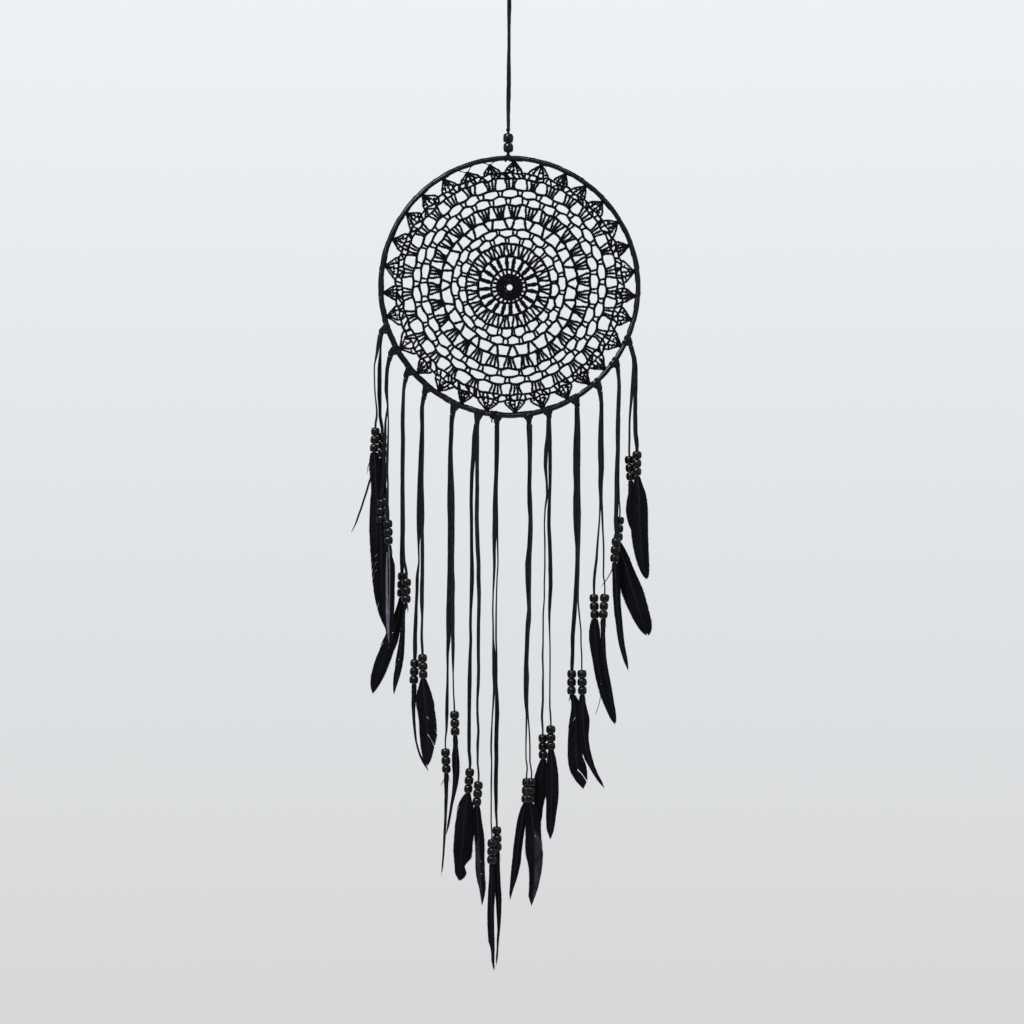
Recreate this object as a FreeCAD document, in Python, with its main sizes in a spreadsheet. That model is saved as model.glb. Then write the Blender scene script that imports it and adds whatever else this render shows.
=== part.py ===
import FreeCAD, Part
import math
import os
import Sketcher

# Dream catcher: a steel hoop wound with suede tape, a crochet web tied inside it,
# a hanger lace with two beads, and thirteen folded laces hung below on lark's head
# knots.  Each lace has two tails, three beads on each tail and a feather in the
# lowest bead.  Millimetres, +Z up, the front looks along -Y.
# Origin: the inner top of the hanging loop, where a nail or hook carries it.

os.makedirs("parts", exist_ok=True)
doc = FreeCAD.newDocument("dream_catcher")
V = FreeCAD.Vector

# ---------------------------------------------------------------- driving sizes
SIZES = [
    ("hoop_radius", 98.2),         # centreline of the hoop
    ("hoop_drop", 254.0),          # hoop centre below the origin
    ("ring_radius", 1.5),          # steel wire
    ("wrap_radius", 2.0),          # outside of the suede tape
    ("wrap_angle", 359.6),         # the tape's two ends butt at the top
    ("lace_radius", 1.5),          # fringe lace, 3 mm wide
    ("hanger_radius", 1.4),        # doubled hanger lace
    ("bead_radius", 3.5),
    ("bead_end_radius", 2.6),
    ("bead_hole", 1.7),
    ("bead_length", 6.1),
    ("bead_pitch", 6.3),
    ("top_bead_radius", 3.65),
    ("top_bead_end", 2.7),
    ("top_bead_length", 6.8),
    ("knot_radius", 2.6),
    ("knot_end_radius", 1.7),
    ("knot_half_length", 4.0),
    ("tie_radius", 2.9),
    ("tie_half_length", 2.4),
    ("loop_arc_radius", 6.4),
    ("loop_knot_radius", 3.3),
    ("loop_knot_drop", 27.5),
    ("web_thick", 1.2),
    ("web_disc", 86.4),
    ("web_tip", 96.4),
    ("web_centre_hole", 2.3),
    ("inner_count", 20),
    ("square_count", 40),
    ("outer_count", 30),
    ("feather_thick", 1.0),
    ("quill_half", 0.8),
]
sheet = doc.addObject("Spreadsheet::Sheet", "sizes")
for row, (name, value) in enumerate(SIZES, 1):
    sheet.set("A%d" % row, name)
    sheet.set("B%d" % row, str(value))
    sheet.setAlias("B%d" % row, name)
doc.recompute()


def cell(name):
    return float(sheet.get(name))


NODES = {}


def node(name, obj):
    obj.Label = name
    NODES[name] = obj
    return obj


def origin_item(body, role):
    return next(o for o in body.Origin.OriginFeatures if o.Role == role)


def new_sketch(body, name, plane="XZ_Plane"):
    sketch = body.newObject("Sketcher::SketchObject", name)
    sketch.AttachmentSupport = [(origin_item(body, plane), "")]
    sketch.MapMode = "FlatFace"
    return sketch


def polygon(sketch, points):
    for (ax, ay), (bx, by) in zip(points, points[1:] + points[:1]):
        sketch.addGeometry(Part.LineSegment(V(ax, ay, 0), V(bx, by, 0)), False)


def both_ways(feature):
    # the pad or pocket reaches as far to the front as to the back
    if hasattr(feature, "SideType"):
        feature.SideType = "Symmetric"
    else:
        feature.Midplane = True


def revolve(body, sketch, axis, angle=None):
    feature = body.newObject("PartDesign::Revolution", body.Name + "_turn")
    feature.Profile = sketch
    feature.ReferenceAxis = (sketch, [axis])
    feature.Angle = 360.0
    if angle:
        feature.setExpression("Angle", "sizes." + angle)
    sketch.Visibility = False
    return feature


def round_path(points):
    """One wire of straight runs joined by tangent arcs, and its smallest arc radius."""
    points = [V(*p) for p in points]
    runs = [(b - a).Length for a, b in zip(points, points[1:])]
    edges, start, radii = [], points[0], []
    for i in range(1, len(points) - 1):
        u = (points[i] - points[i - 1]).normalize()
        v = (points[i + 1] - points[i]).normalize()
        turn = u.getAngle(v)
        cut = 0.45 * min(runs[i - 1], runs[i])
        radius = cut / math.tan(turn / 2)
        radii.append(radius)
        a, b = points[i] - u * cut, points[i] + v * cut
        out = (v - u).normalize()
        middle = points[i] + out * (radius / math.cos(turn / 2) - radius)
        edges.append(Part.LineSegment(start, a).toShape())
        edges.append(Part.Arc(a, middle, b).toShape())
        start = b
    edges.append(Part.LineSegment(start, points[-1]).toShape())
    return Part.Wire(edges), radii, runs


def tube(name, points, radius_cell):
    """A lace as a plain tube swept along its rounded route."""
    wire, radii, runs = round_path(points)
    path = doc.addObject("Part::Feature", name + "_path")
    path.Shape = wire
    ring = doc.addObject("Part::Circle", name + "_section")
    ring.Radius = cell(radius_cell)
    ring.setExpression("Radius", "sizes." + radius_cell)
    along = (V(*points[1]) - V(*points[0])).normalize()
    ring.Placement = FreeCAD.Placement(
        V(*points[0]), FreeCAD.Rotation(V(0, 0, 1), along)
    )
    sweep = doc.addObject("Part::Sweep", name + "_tube")
    sweep.Sections = [ring]
    sweep.Spine = (path, ["Edge%d" % (i + 1) for i in range(len(wire.Edges))])
    sweep.Solid = True
    sweep.Frenet = False
    TUBES.append((name, sweep, wire.Length, radius_cell, radii, runs))
    return sweep


TUBES = []
DROP = cell("hoop_drop")
HOOP = cell("hoop_radius")

# ---------------------------------------------------------------- tables, mm
# Each tail's route, from under its knot to the middle of its lowest bead.
TAILS = {
    "01a": [(-98.51, -1.55, -290.55), (-102.53, 0.35, -315.73), (-101.33, 1.5, -351.08), (-103.17, 1.5, -376.92)],
    "01b": [(-96.81, 1.55, -290.55), (-98.56, 4.99, -320.06), (-97.28, 6.7, -353.78), (-97.28, 6.7, -380.88)],
    "02a": [(-91.49, 1.55, -307.33), (-94.39, -1.76, -349.63), (-96.81, -3.4, -397.32), (-97.61, -3.4, -431.31)],
    "02b": [(-89.79, -1.55, -307.33), (-92.75, -3.97, -330.42), (-91.81, -7.25, -372.27), (-93, -8.6, -413.35), (-91.82, -8.6, -447.33)],
    "03a": [(-79.67, 1.55, -323.74), (-81.41, 1.73, -355.65), (-81.61, 3.15, -407.85), (-81.58, 3.7, -453.68), (-82.43, 3.7, -487.67)],
    "03b": [(-77.97, -1.55, -323.74), (-80.33, -1.73, -358.91), (-80.42, -2.37, -407.87), (-77.77, -2.6, -458.08), (-78.62, -2.6, -492.07)],
    "04a": [(-65.55, 1.55, -337.09), (-66.93, 1.63, -372.55), (-68.14, 2.09, -419.58), (-69.69, 2.46, -470.78), (-71.41, 2.6, -520.03), (-72.89, 2.6, -554)],
    "04b": [(-63.85, -1.55, -337.09), (-65.48, -1.76, -370.03), (-66.38, -2, -417.09), (-66.07, -2.47, -467.64), (-67, -2.6, -515.73), (-65.55, -2.6, -549.7)],
    "05a": [(-42.26, -1.55, -351.59), (-43.17, -1.55, -379.88), (-42.96, -1.84, -427.6), (-42.96, -2.12, -474.64), (-42.7, -2.2, -518.94), (-42.49, -2.4, -559.09), (-41.28, -2.4, -593.07)],
    "05b": [(-43.96, 1.55, -351.59), (-44.47, 1.69, -383.86), (-45.11, 1.77, -433.54), (-45.16, 2.13, -484.66), (-46.7, 2.3, -536.87), (-49.94, 2.4, -588.18), (-48.08, 2.4, -622.13)],
    "06a": [(-25.34, 1.55, -358.61), (-27.55, 1.58, -394.26), (-28.63, 1.87, -441.01), (-29.05, 2.13, -497.43), (-29.96, 2.21, -550.56), (-28.42, 2.4, -603.42), (-31.31, 2.4, -637.3)],
    "06b": [(-23.64, -1.55, -358.61), (-24.64, -1.56, -386.6), (-24.09, -1.57, -426.07), (-22.95, -2.03, -472.81), (-23.1, -2.23, -523.05), (-23.79, -2.24, -566.54), (-21.81, -2.4, -612.83), (-24.7, -2.4, -646.71)],
    "07a": [(-8.53, 1.55, -359.37), (-8.76, 1.53, -390.24), (-9.11, 1.79, -443.63), (-9.43, 2.32, -498.08), (-9.7, 2.53, -549.85), (-9.2, 3.03, -596.04), (-10.07, 3.1, -647.87), (-9.2, 3.1, -681.86)],
    "07b": [(-10.23, -1.55, -359.37), (-10.06, -1.75, -389.45), (-11.23, -1.82, -435.49), (-11.67, -2.23, -482.51), (-11.95, -2.48, -519.36), (-11.47, -2.63, -565.41), (-13.31, -2.99, -609.77), (-12.92, -3.1, -656.74), (-13.54, -3.1, -690.73)],
    "08a": [(14.18, 1.55, -358.84), (15.25, 1.8, -393.95), (15.66, 2, -437.85), (14.3, 2.36, -484.45), (13.27, 2.82, -520.16), (12.72, 3.19, -564.22), (14.19, 3.4, -611.09), (12.54, 3.4, -645.05)],
    "08b": [(15.88, -1.55, -358.84), (16.51, -1.78, -387.82), (17.25, -2.05, -434.31), (16.17, -2.65, -484.81), (14.78, -3.09, -525.11), (14.49, -3.06, -567.9), (18.63, -3.4, -610.27), (15.74, -3.4, -644.14)],
    "09a": [(29.44, 1.55, -355.02), (28.28, 1.53, -385.61), (26.93, 1.9, -433.7), (26.98, 2.1, -481.62), (25.77, 2.57, -527.98), (25.2, 2.6, -577.31), (25.83, 2.6, -611.3)],
    "09b": [(31.14, -1.55, -355.02), (31.57, -1.74, -392.69), (31.05, -1.91, -434.33), (32.03, -2.27, -474.45), (31.81, -2.54, -528.23), (31.64, -2.6, -570.11), (31.64, -2.6, -604.11)],
    "10a": [(50.96, 1.55, -346.25), (51.07, 1.49, -379.43), (51.05, 1.91, -428.11), (51.22, 2.36, -475.5), (48.09, 2.4, -528.2), (47.5, 2.4, -562.19)],
    "10b": [(52.66, -1.55, -346.25), (52.81, -1.73, -381.57), (53.34, -1.84, -428.18), (53.06, -2.26, -477.24), (54.85, -2.4, -527.79), (55.64, -2.4, -561.79)],
    "11a": [(68.05, 1.55, -333.66), (69.86, 1.65, -364.98), (69.17, 2.09, -414.28), (63.67, 2.4, -470.19), (65.31, 2.4, -504.15)],
    "11b": [(69.75, -1.55, -333.66), (70.96, -1.54, -365.73), (71.26, -2.25, -419.08), (74.24, -2.4, -469.93), (71.65, -2.4, -503.83)],
    "12a": [(81.71, 1.55, -316.49), (83.79, 2.22, -354.99), (86.18, 3.6, -411), (83.29, 3.6, -444.87)],
    "12b": [(83.41, -1.55, -316.49), (83.27, -1.89, -346.37), (82.68, -2.86, -387.5), (83.08, -3.6, -427.12), (80.19, -3.6, -461)],
    "13a": [(91.4, 1.55, -299.32), (94.65, 2.07, -325.57), (90.23, 2.9, -368.86), (92.76, 2.9, -398.51)],
    "13b": [(93.1, -1.55, -299.32), (96.65, -2.08, -331.9), (97.31, -2.9, -366.31), (97.31, -2.9, -395.02)],
}
# Each feather's outline in X and Z, from the left of the vane round the tip.
FEATHERS = {
    "01a": [(-105.14, -390.65), (-106.13, -419.65), (-106.67, -446.35), (-106.13, -462.38), (-104, -484.5), (-100.18, -502.05), (-96.37, -509.68), (-96.37, -492.9), (-98.27, -462.38), (-99.04, -416.6), (-100.56, -390.65)],
    "01b": [(-99.42, -393.71), (-100.94, -416.6), (-101.33, -462.38), (-98.27, -497.47), (-95.6, -473.82), (-94.46, -447.12), (-94.46, -416.6), (-95.6, -393.71)],
    "02a": [(-99.04, -438.72), (-100.94, -450.93), (-101.33, -473.82), (-99.8, -496.71), (-95.99, -514.26), (-94.08, -492.9), (-93.7, -462.38), (-95.99, -438.72)],
    "02b": [(-93.7, -455.51), (-95.99, -466.19), (-96.37, -492.9), (-91.79, -527.23), (-87.44, -502.05), (-86.98, -484.5), (-86.91, -464.66), (-89.5, -456.27)],
    "03a": [(-84.16, -495.18), (-94.08, -516.55), (-99.42, -531.05), (-104, -544.02), (-106.29, -553.94), (-106.13, -560.8), (-104.38, -564.16), (-98.66, -558.51), (-94.08, -548.59), (-88.74, -534.86), (-83.4, -514.26), (-81.11, -495.18)],
    "03b": [(-79.96, -499), (-84.16, -515.79), (-87.21, -536.39), (-88.36, -553.94), (-87.75, -564.16), (-84.92, -556.99), (-81.49, -538.68), (-79.81, -519.6), (-78.05, -499)],
    "04a": [(-74.01, -560.8), (-74.39, -576.06), (-72.71, -593.61), (-69.28, -609.63), (-65.85, -618.79), (-66.99, -603.53), (-69.28, -580.64), (-71.34, -560.8)],
    "04b": [(-67.37, -556.99), (-69.66, -576.06), (-68.14, -587.51), (-66.61, -603.53), (-62.57, -618.79), (-58.22, -608.11), (-54.86, -595.9), (-56.69, -574.54), (-58.98, -565.38), (-63.71, -556.99)],
    "05a": [(-42.58, -600.48), (-43.34, -621.08), (-45.63, -645.5), (-47.99, -669.91), (-44.64, -653.89), (-41.81, -641.68), (-37.92, -621.08), (-39.9, -600.48)],
    "05b": [(-49.21, -629.47), (-49.82, -645.5), (-50.89, -682.88), (-52.65, -706.54), (-50.21, -691.28), (-47.92, -668.39), (-46.77, -629.47)],
    "06a": [(-34.18, -644.73), (-40.06, -653.89), (-41.43, -660.76), (-42.19, -673.73), (-42.58, -695.09), (-38.38, -707.3), (-32.5, -703.48), (-28.08, -695.85), (-27.32, -676.78), (-27.39, -659.23), (-29.83, -644.73)],
    "06b": [(-25.94, -654.27), (-25.71, -676.02), (-24.8, -702.72), (-20.83, -724.85), (-17.93, -712.64), (-17.78, -701.96), (-18.54, -680.59), (-19.91, -668.39), (-23.42, -654.27)],
    "07a": [(-10.53, -688.99), (-10.76, -714.17), (-10.45, -744.69), (-9.38, -768.34), (-6.94, -744.69), (-5.88, -723.32), (-7.25, -698.91), (-8.32, -688.99)],
    "07b": [(-14.65, -698.14), (-15.87, -717.98), (-16.33, -739.34), (-15.64, -755.37), (-14.27, -765.29), (-11.22, -774.44), (-11.22, -759.95), (-11.22, -721.8), (-12.21, -698.14)],
    "08a": [(9.69, -652.36), (5.72, -663.81), (3.43, -681.36), (1.07, -698.91), (0, -721.8), (3.97, -709.59), (8.7, -696.23), (10.61, -675.25), (13.89, -652.36)],
    "08b": [(13.89, -652.36), (11.98, -676.02), (14.27, -693.56), (15.03, -711.11), (15.03, -719.51), (17.17, -725.15), (19.15, -718.74), (24.42, -701.96), (25.71, -690.51), (25.48, -679.07), (23.73, -669.91), (17.32, -652.36)],
    "09a": [(24.19, -618.79), (22.43, -630.24), (23.81, -646.26), (26.86, -634.05), (27.24, -618.79)],
    "09b": [(30.67, -611.54), (28.61, -637.87), (27.85, -659.99), (31.44, -674.95), (35.63, -656.94), (37.46, -648.55), (37.69, -633.29), (34.11, -611.54)],
    "10a": [(46.77, -569.96), (45.02, -586.74), (44.64, -612.69), (46.01, -624.89), (50.13, -632.52), (57, -637.1), (59.9, -627.95), (58.9, -618.79), (55.47, -599.72), (51.66, -580.64), (48.98, -569.96)],
    "10b": [(54.71, -569.96), (57, -592.09), (61.57, -612.69), (66.92, -627.18), (72.64, -635.96), (69.97, -628.71), (65.39, -621.08), (63.1, -611.16), (61.8, -592.09), (60.81, -582.93), (57.15, -569.96)],
    "11a": [(63.86, -511.59), (61.19, -518.84), (62.18, -528.76), (65.08, -545.54), (69.05, -563.09), (74.85, -579.88), (80.27, -585.98), (75.69, -569.2), (71.87, -547.83), (69.2, -527.23), (66.92, -511.59)],
    "11b": [(70.73, -511.21), (70.35, -527.99), (73.02, -550.12), (76.83, -569.2), (81.26, -584.46), (78.82, -563.09), (76.07, -545.54), (73.63, -527.99), (72.87, -511.21)],
    "12a": [(82.4, -452.84), (83.32, -470.01), (84.85, -487.55), (88.28, -499), (92.86, -507.77), (98.96, -515.02), (105.83, -520.36), (108.73, -513.5), (107.96, -506.63), (104.53, -492.9), (100.33, -479.92), (94, -467.72), (85.99, -452.84)],
    "12b": [(78.36, -468.86), (78.97, -487.55), (81.11, -508.16), (81.87, -518.84), (85.23, -534.1), (90.57, -546.31), (89.81, -538.68), (86.37, -521.89), (84.85, -504.34), (83.32, -485.27), (80.8, -468.86)],
    "13a": [(92.09, -405.91), (90.72, -412.78), (90.19, -425.75), (91.48, -435.67), (93.47, -426.51), (94.23, -405.91)],
    "13b": [(96.37, -402.86), (93.24, -420.41), (92.09, -438.72), (94.76, -455.51), (98.96, -469.24), (103.92, -476.87), (106.51, -473.06), (106.29, -450.93), (105.6, -424.23), (103.92, -409.73), (98.81, -402.86)],
}
# Each lark's head: X and Z of its middle, and how far its tassel may swing.
KNOTS = {
    "01": (-97.66, -287.65, 0, 25),
    "02": (-90.64, -304.43, -25, 0),
    "03": (-78.82, -320.84, 0, 25),
    "04": (-64.7, -334.19, -25, 25),
    "05": (-43.11, -348.69, -25, 25),
    "06": (-24.49, -355.71, -25, 25),
    "07": (-9.38, -356.47, -25, 25),
    "08": (15.03, -355.94, -25, 25),
    "09": (30.29, -352.12, -25, 25),
    "10": (51.81, -343.35, -25, 25),
    "11": (68.9, -330.76, -25, 25),
    "12": (82.56, -313.59, -25, 25),
    "13": (92.25, -296.42, -25, 25),
}
HANGER = [
    (0, 0, -31.1),
    (-0.15, 0.12, -62),
    (-0.36, -0.1, -95),
    (-0.7, 0.06, -125),
    (-0.76, 0, -152.5),
]

# ---------------------------------------------------------------- hoop
# The steel ring: a round wire turned about the hoop's axis.
ring_body = doc.addObject("PartDesign::Body", "ring_body")
sk = new_sketch(ring_body, "ring_profile", "XY_Plane")
sk.addGeometry(Part.Circle(V(HOOP, 0, 0), V(0, 0, 1), cell("ring_radius")), False)
sk.addConstraint(Sketcher.Constraint("Radius", 0, cell("ring_radius")))
sk.addConstraint(Sketcher.Constraint("DistanceX", -1, 1, 0, 3, HOOP))
sk.addConstraint(Sketcher.Constraint("PointOnObject", 0, 3, -1))
sk.setExpression("Constraints[0]", "sizes.ring_radius")
sk.setExpression("Constraints[1]", "sizes.hoop_radius")
revolve(ring_body, sk, "V_Axis")
ring_body.Placement.Base = V(0, 0, -DROP)
node("hoop_ring", ring_body)

# The tape: a tube over the ring, open by a hair where its two ends butt at the top.
wrap_body = doc.addObject("PartDesign::Body", "wrap_body")
sk = new_sketch(wrap_body, "wrap_profile", "XY_Plane")
for i, name in enumerate(("wrap_radius", "ring_radius")):
    sk.addGeometry(Part.Circle(V(HOOP, 0, 0), V(0, 0, 1), cell(name)), False)
    sk.addConstraint(Sketcher.Constraint("Radius", i, cell(name)))
    sk.addConstraint(Sketcher.Constraint("DistanceX", -1, 1, i, 3, HOOP))
    sk.addConstraint(Sketcher.Constraint("PointOnObject", i, 3, -1))
    sk.setExpression("Constraints[%d]" % (3 * i), "sizes." + name)
    sk.setExpression("Constraints[%d]" % (3 * i + 1), "sizes.hoop_radius")
revolve(wrap_body, sk, "V_Axis", "wrap_angle")
wrap_body.Placement = FreeCAD.Placement(
    V(0, 0, -DROP), FreeCAD.Rotation(V(0, 1, 0), -90)
)
node("hoop_wrap", wrap_body)

# ---------------------------------------------------------------- crochet web
# A thin round plate, one pad: its outline runs out in pointed tips to the hoop, and
# the rounds of stitches are rings of slots with round ends.
web = doc.addObject("PartDesign::Body", "web_body")
sk = new_sketch(web, "web_sketch")


def turned(x, y, angle):
    c, s = math.cos(angle), math.sin(angle)
    return V(x * c + y * s, -x * s + y * c, 0)


lines = []
count, base, tip = int(cell("outer_count")), cell("web_disc"), cell("web_tip")
outline = []
for i in range(count):
    step = 2 * math.pi * i / count
    for x, y in ((-7.6, base), (-0.9, tip), (0.9, tip), (7.6, base)):
        outline.append(turned(x, y, step))
for a, b in zip(outline, outline[1:] + outline[:1]):
    lines.append(Part.LineSegment(a, b))
lines.append(Part.Circle(V(0, 0, 0), V(0, 0, 1), cell("web_centre_hole")))

# count, inner and outer radius, width of one opening, share of a step turned
ROUNDS = [
    ("inner_count", 13.4, 21.4, 2.9, 0.13),  # posts
    ("inner_count", 24.2, 30.8, 2.9, 0.7),  # groups of posts
    ("inner_count", 33.4, 37.8, 7.6, 0.25),  # chain loops
    ("inner_count", 39.2, 43.2, 8.6, 0.8),
    ("square_count", 44.9, 51.6, 5.2, 0.0),  # square loops
    ("outer_count", 53.4, 61.4, 3.2, 0.67),  # between the fans
    ("outer_count", 63.0, 67.6, 9.4, 0.2),  # chain loops
    ("outer_count", 69.1, 73.6, 10.2, 0.87),
    ("outer_count", 75.2, 81.4, 8.6, 0.5),  # in the shells
]
for name, low, high, width, share in ROUNDS:
    count = int(cell(name))
    tall, mid = high - low, (low + high) / 2
    r = min(tall, width) / 2 * 0.98
    for i in range(count):
        step = 2 * math.pi / count * (i + share)
        if tall > width:
            a, b = turned(0, mid - tall / 2 + r, step), turned(0, mid + tall / 2 - r, step)
            side = turned(r, 0, step)
        else:
            a, b = turned(r - width / 2, mid, step), turned(width / 2 - r, mid, step)
            side = turned(0, -r, step)
        axis = (b - a).normalize()
        lines.append(Part.Arc(a + side, a - axis * r, a - side))
        lines.append(Part.LineSegment(a - side, b - side))
        lines.append(Part.Arc(b - side, b + axis * r, b + side))
        lines.append(Part.LineSegment(b + side, a + side))
sk.addGeometry(lines, False)
pad = web.newObject("PartDesign::Pad", "web_pad")
pad.Profile = sk
both_ways(pad)
pad.Length = cell("web_thick")
pad.setExpression("Length", "sizes.web_thick")
pad.Refine = False
sk.Visibility = False
web.Placement.Base = V(0, 0, -DROP)
node("crochet_web", web)


# ---------------------------------------------------------------- turned pieces
def barrel(name, plane_axis, half, end, middle, hole=None):
    """A barrel turned about its own axis: its side bulges from end to middle radius."""
    body = doc.addObject("PartDesign::Body", name)
    sk = new_sketch(body, name + "_profile")
    h, e, m = half, cell(end), cell(middle)
    b = cell(hole) if hole else 0.0

    def at(along, out):
        return V(out, along, 0) if plane_axis == "V_Axis" else V(along, out, 0)

    sk.addGeometry(Part.LineSegment(at(-h, b), at(-h, e)), False)
    sk.addGeometry(Part.Arc(at(-h, e), at(0, m), at(h, e)), False)
    sk.addGeometry(Part.LineSegment(at(h, e), at(h, b)), False)
    sk.addGeometry(Part.LineSegment(at(h, b), at(-h, b)), False)
    revolve(body, sk, plane_axis)
    return body


def copies(name, template, placements):
    """A group of identical separate solids: links to one turned piece."""
    links = []
    for i, placement in enumerate(placements):
        link = doc.addObject("App::Link", "%s_%d" % (name, i + 1))
        link.LinkedObject = template
        link.LinkTransform = False
        link.Placement = placement
        links.append(link)
    group = doc.addObject("Part::Compound", name + "_group")
    group.Links = links
    return node(name, group)


fringe_bead = barrel(
    "fringe_bead", "V_Axis", cell("bead_length") / 2, "bead_end_radius", "bead_radius", "bead_hole"
)
top_bead = barrel(
    "top_bead", "V_Axis", cell("top_bead_length") / 2, "top_bead_end", "top_bead_radius", "bead_hole"
)
knot_barrel = barrel(
    "knot_barrel", "H_Axis", cell("knot_half_length"), "knot_end_radius", "knot_radius"
)
tie_barrel = barrel(
    "tie_barrel", "H_Axis", cell("tie_half_length"), "knot_radius", "tie_radius"
)
doc.recompute()

# Thirteen lark's heads under the hoop and the hanger's own on top of it.
knots = []
for i, (x, z, low, high) in enumerate(KNOTS.values()):
    link = doc.addObject("App::Link", "lark_%02d" % (i + 1))
    link.LinkedObject = knot_barrel
    link.Placement = FreeCAD.Placement(V(x, 0, z), FreeCAD.Rotation())
    knots.append(link)
link = doc.addObject("App::Link", "lark_top")
link.LinkedObject = tie_barrel
link.Placement = FreeCAD.Placement(V(HANGER[-1][0], 0, -DROP + HOOP), FreeCAD.Rotation())
knots.append(link)
group = doc.addObject("Part::Compound", "lark_group")
group.Links = knots
node("lark_head_knots", group)

# ---------------------------------------------------------------- hanger
node("hanger_cord", tube("hanger_cord", HANGER, "hanger_radius"))
copies(
    "hanger_beads",
    top_bead,
    [
        FreeCAD.Placement(V(-0.76, 0, -140.5), FreeCAD.Rotation()),
        FreeCAD.Placement(V(-0.76, 0, -147.8), FreeCAD.Rotation()),
    ],
)
knot = doc.addObject("Part::Ellipsoid", "hanger_knot_shape")
knot.Radius1, knot.Radius2, knot.Radius3 = 2.3, 2.7, 2.4
knot.Placement.Base = V(-0.9, 0, -134.7)
node("hanger_knot", knot)

# The loop: the lace goes over a round top and comes back into its overhand knot.
arc = cell("loop_arc_radius")
lace = cell("hanger_radius")
top = V(0, 0, lace - arc)
foot = V(1.6, 0, -cell("loop_knot_drop") + 2.2)
reach = (foot - top).Length
lean = math.atan2(foot.x, top.z - foot.z)
spread = math.acos(arc / reach)
touch = V(
    top.x + arc * math.cos(spread - (math.pi / 2 - lean)),
    0,
    top.z + arc * math.sin(spread - (math.pi / 2 - lean)),
)
loop_path = doc.addObject("Part::Feature", "loop_path")
loop_path.Shape = Part.Wire(
    [
        Part.LineSegment(foot, touch).toShape(),
        Part.Arc(touch, V(0, 0, lace), V(-touch.x, 0, touch.z)).toShape(),
        Part.LineSegment(V(-touch.x, 0, touch.z), V(-foot.x, 0, foot.z)).toShape(),
    ]
)
ring = doc.addObject("Part::Circle", "loop_section")
ring.Radius = lace
ring.setExpression("Radius", "sizes.hanger_radius")
ring.Placement = FreeCAD.Placement(foot, FreeCAD.Rotation(V(0, 0, 1), touch - foot))
sweep = doc.addObject("Part::Sweep", "loop_tube")
sweep.Sections = [ring]
sweep.Spine = (loop_path, ["Edge1", "Edge2", "Edge3"])
sweep.Solid = True
ball = doc.addObject("Part::Sphere", "loop_knot")
ball.Radius = cell("loop_knot_radius")
ball.setExpression("Radius", "sizes.loop_knot_radius")
ball.Placement.Base = V(0, 0, -cell("loop_knot_drop"))
fuse = doc.addObject("Part::Fuse", "loop_fuse")
fuse.Base, fuse.Tool = sweep, ball
node("hanging_loop", fuse)

# ---------------------------------------------------------------- tassels
for name, route in TAILS.items():
    node("tail_" + name, tube("tail_" + name, route, "lace_radius"))

pitch = cell("bead_pitch")
for key in KNOTS:
    places = []
    for side in "ab":
        route = [V(*p) for p in TAILS[key + side]]
        along = (route[-1] - route[-2]).normalize()
        turn = FreeCAD.Rotation(V(0, 0, -1), along)
        for i in (2, 1, 0):
            places.append(FreeCAD.Placement(route[-1] - along * (pitch * i), turn))
    copies("beads_" + key, fringe_bead, places)

for key in KNOTS:
    blades = []
    for side in "ab":
        end = V(*TAILS[key + side][-1])
        q = cell("quill_half")
        outline = [(end.x - q, end.z - 0.2), (end.x - q, end.z - 4.2)]
        outline += FEATHERS[key + side]
        outline += [(end.x + q, end.z - 4.2), (end.x + q, end.z - 0.2)]
        body = doc.addObject("PartDesign::Body", "feather_" + key + side)
        sk = new_sketch(body, "vane_" + key + side)
        polygon(sk, outline)
        pad = body.newObject("PartDesign::Pad", "pad_" + key + side)
        pad.Profile = sk
        both_ways(pad)
        pad.Length = cell("feather_thick")
        pad.setExpression("Length", "sizes.feather_thick")
        sk.Visibility = False
        body.Placement.Base = V(0, end.y, 0)
        blades.append(body)
    pair = doc.addObject("Part::Compound", "feathers_%s_pair" % key)
    pair.Links = blades
    node("feathers_" + key, pair)

doc.recompute()

# ---------------------------------------------------------------- checks
bad = [o.Name for o in doc.Objects if any(x in o.State for x in ("Invalid", "Error"))]
if bad:
    raise SystemExit("failed objects: " + ", ".join(bad))
for name, obj in NODES.items():
    shape = obj.Shape
    if shape.isNull() or not shape.isValid() or not shape.Solids:
        raise SystemExit("bad shape: " + name)
for name, obj, length, radius, radii, runs in TUBES:
    ideal = math.pi * cell(radius) ** 2 * length
    print(
        "%-12s length %6.1f  volume/ideal %.4f  runs %s  arc radii %s"
        % (
            name,
            length,
            obj.Shape.Volume / ideal,
            " ".join("%.0f" % r for r in runs),
            " ".join("%.0f" % r for r in radii),
        )
    )
    if abs(obj.Shape.Volume / ideal - 1) > 0.01:
        raise SystemExit("tube volume is wrong: " + name)
plate = math.pi * cell("web_disc") ** 2 * cell("web_thick")
print("web volume share %.3f of the plain disc" % (NODES["crochet_web"].Shape.Volume / plate))

for name, obj in NODES.items():
    obj.Shape.exportStep("parts/" + name + ".step")
print(len(NODES), "nodes")
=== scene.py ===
import math
import random

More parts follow.
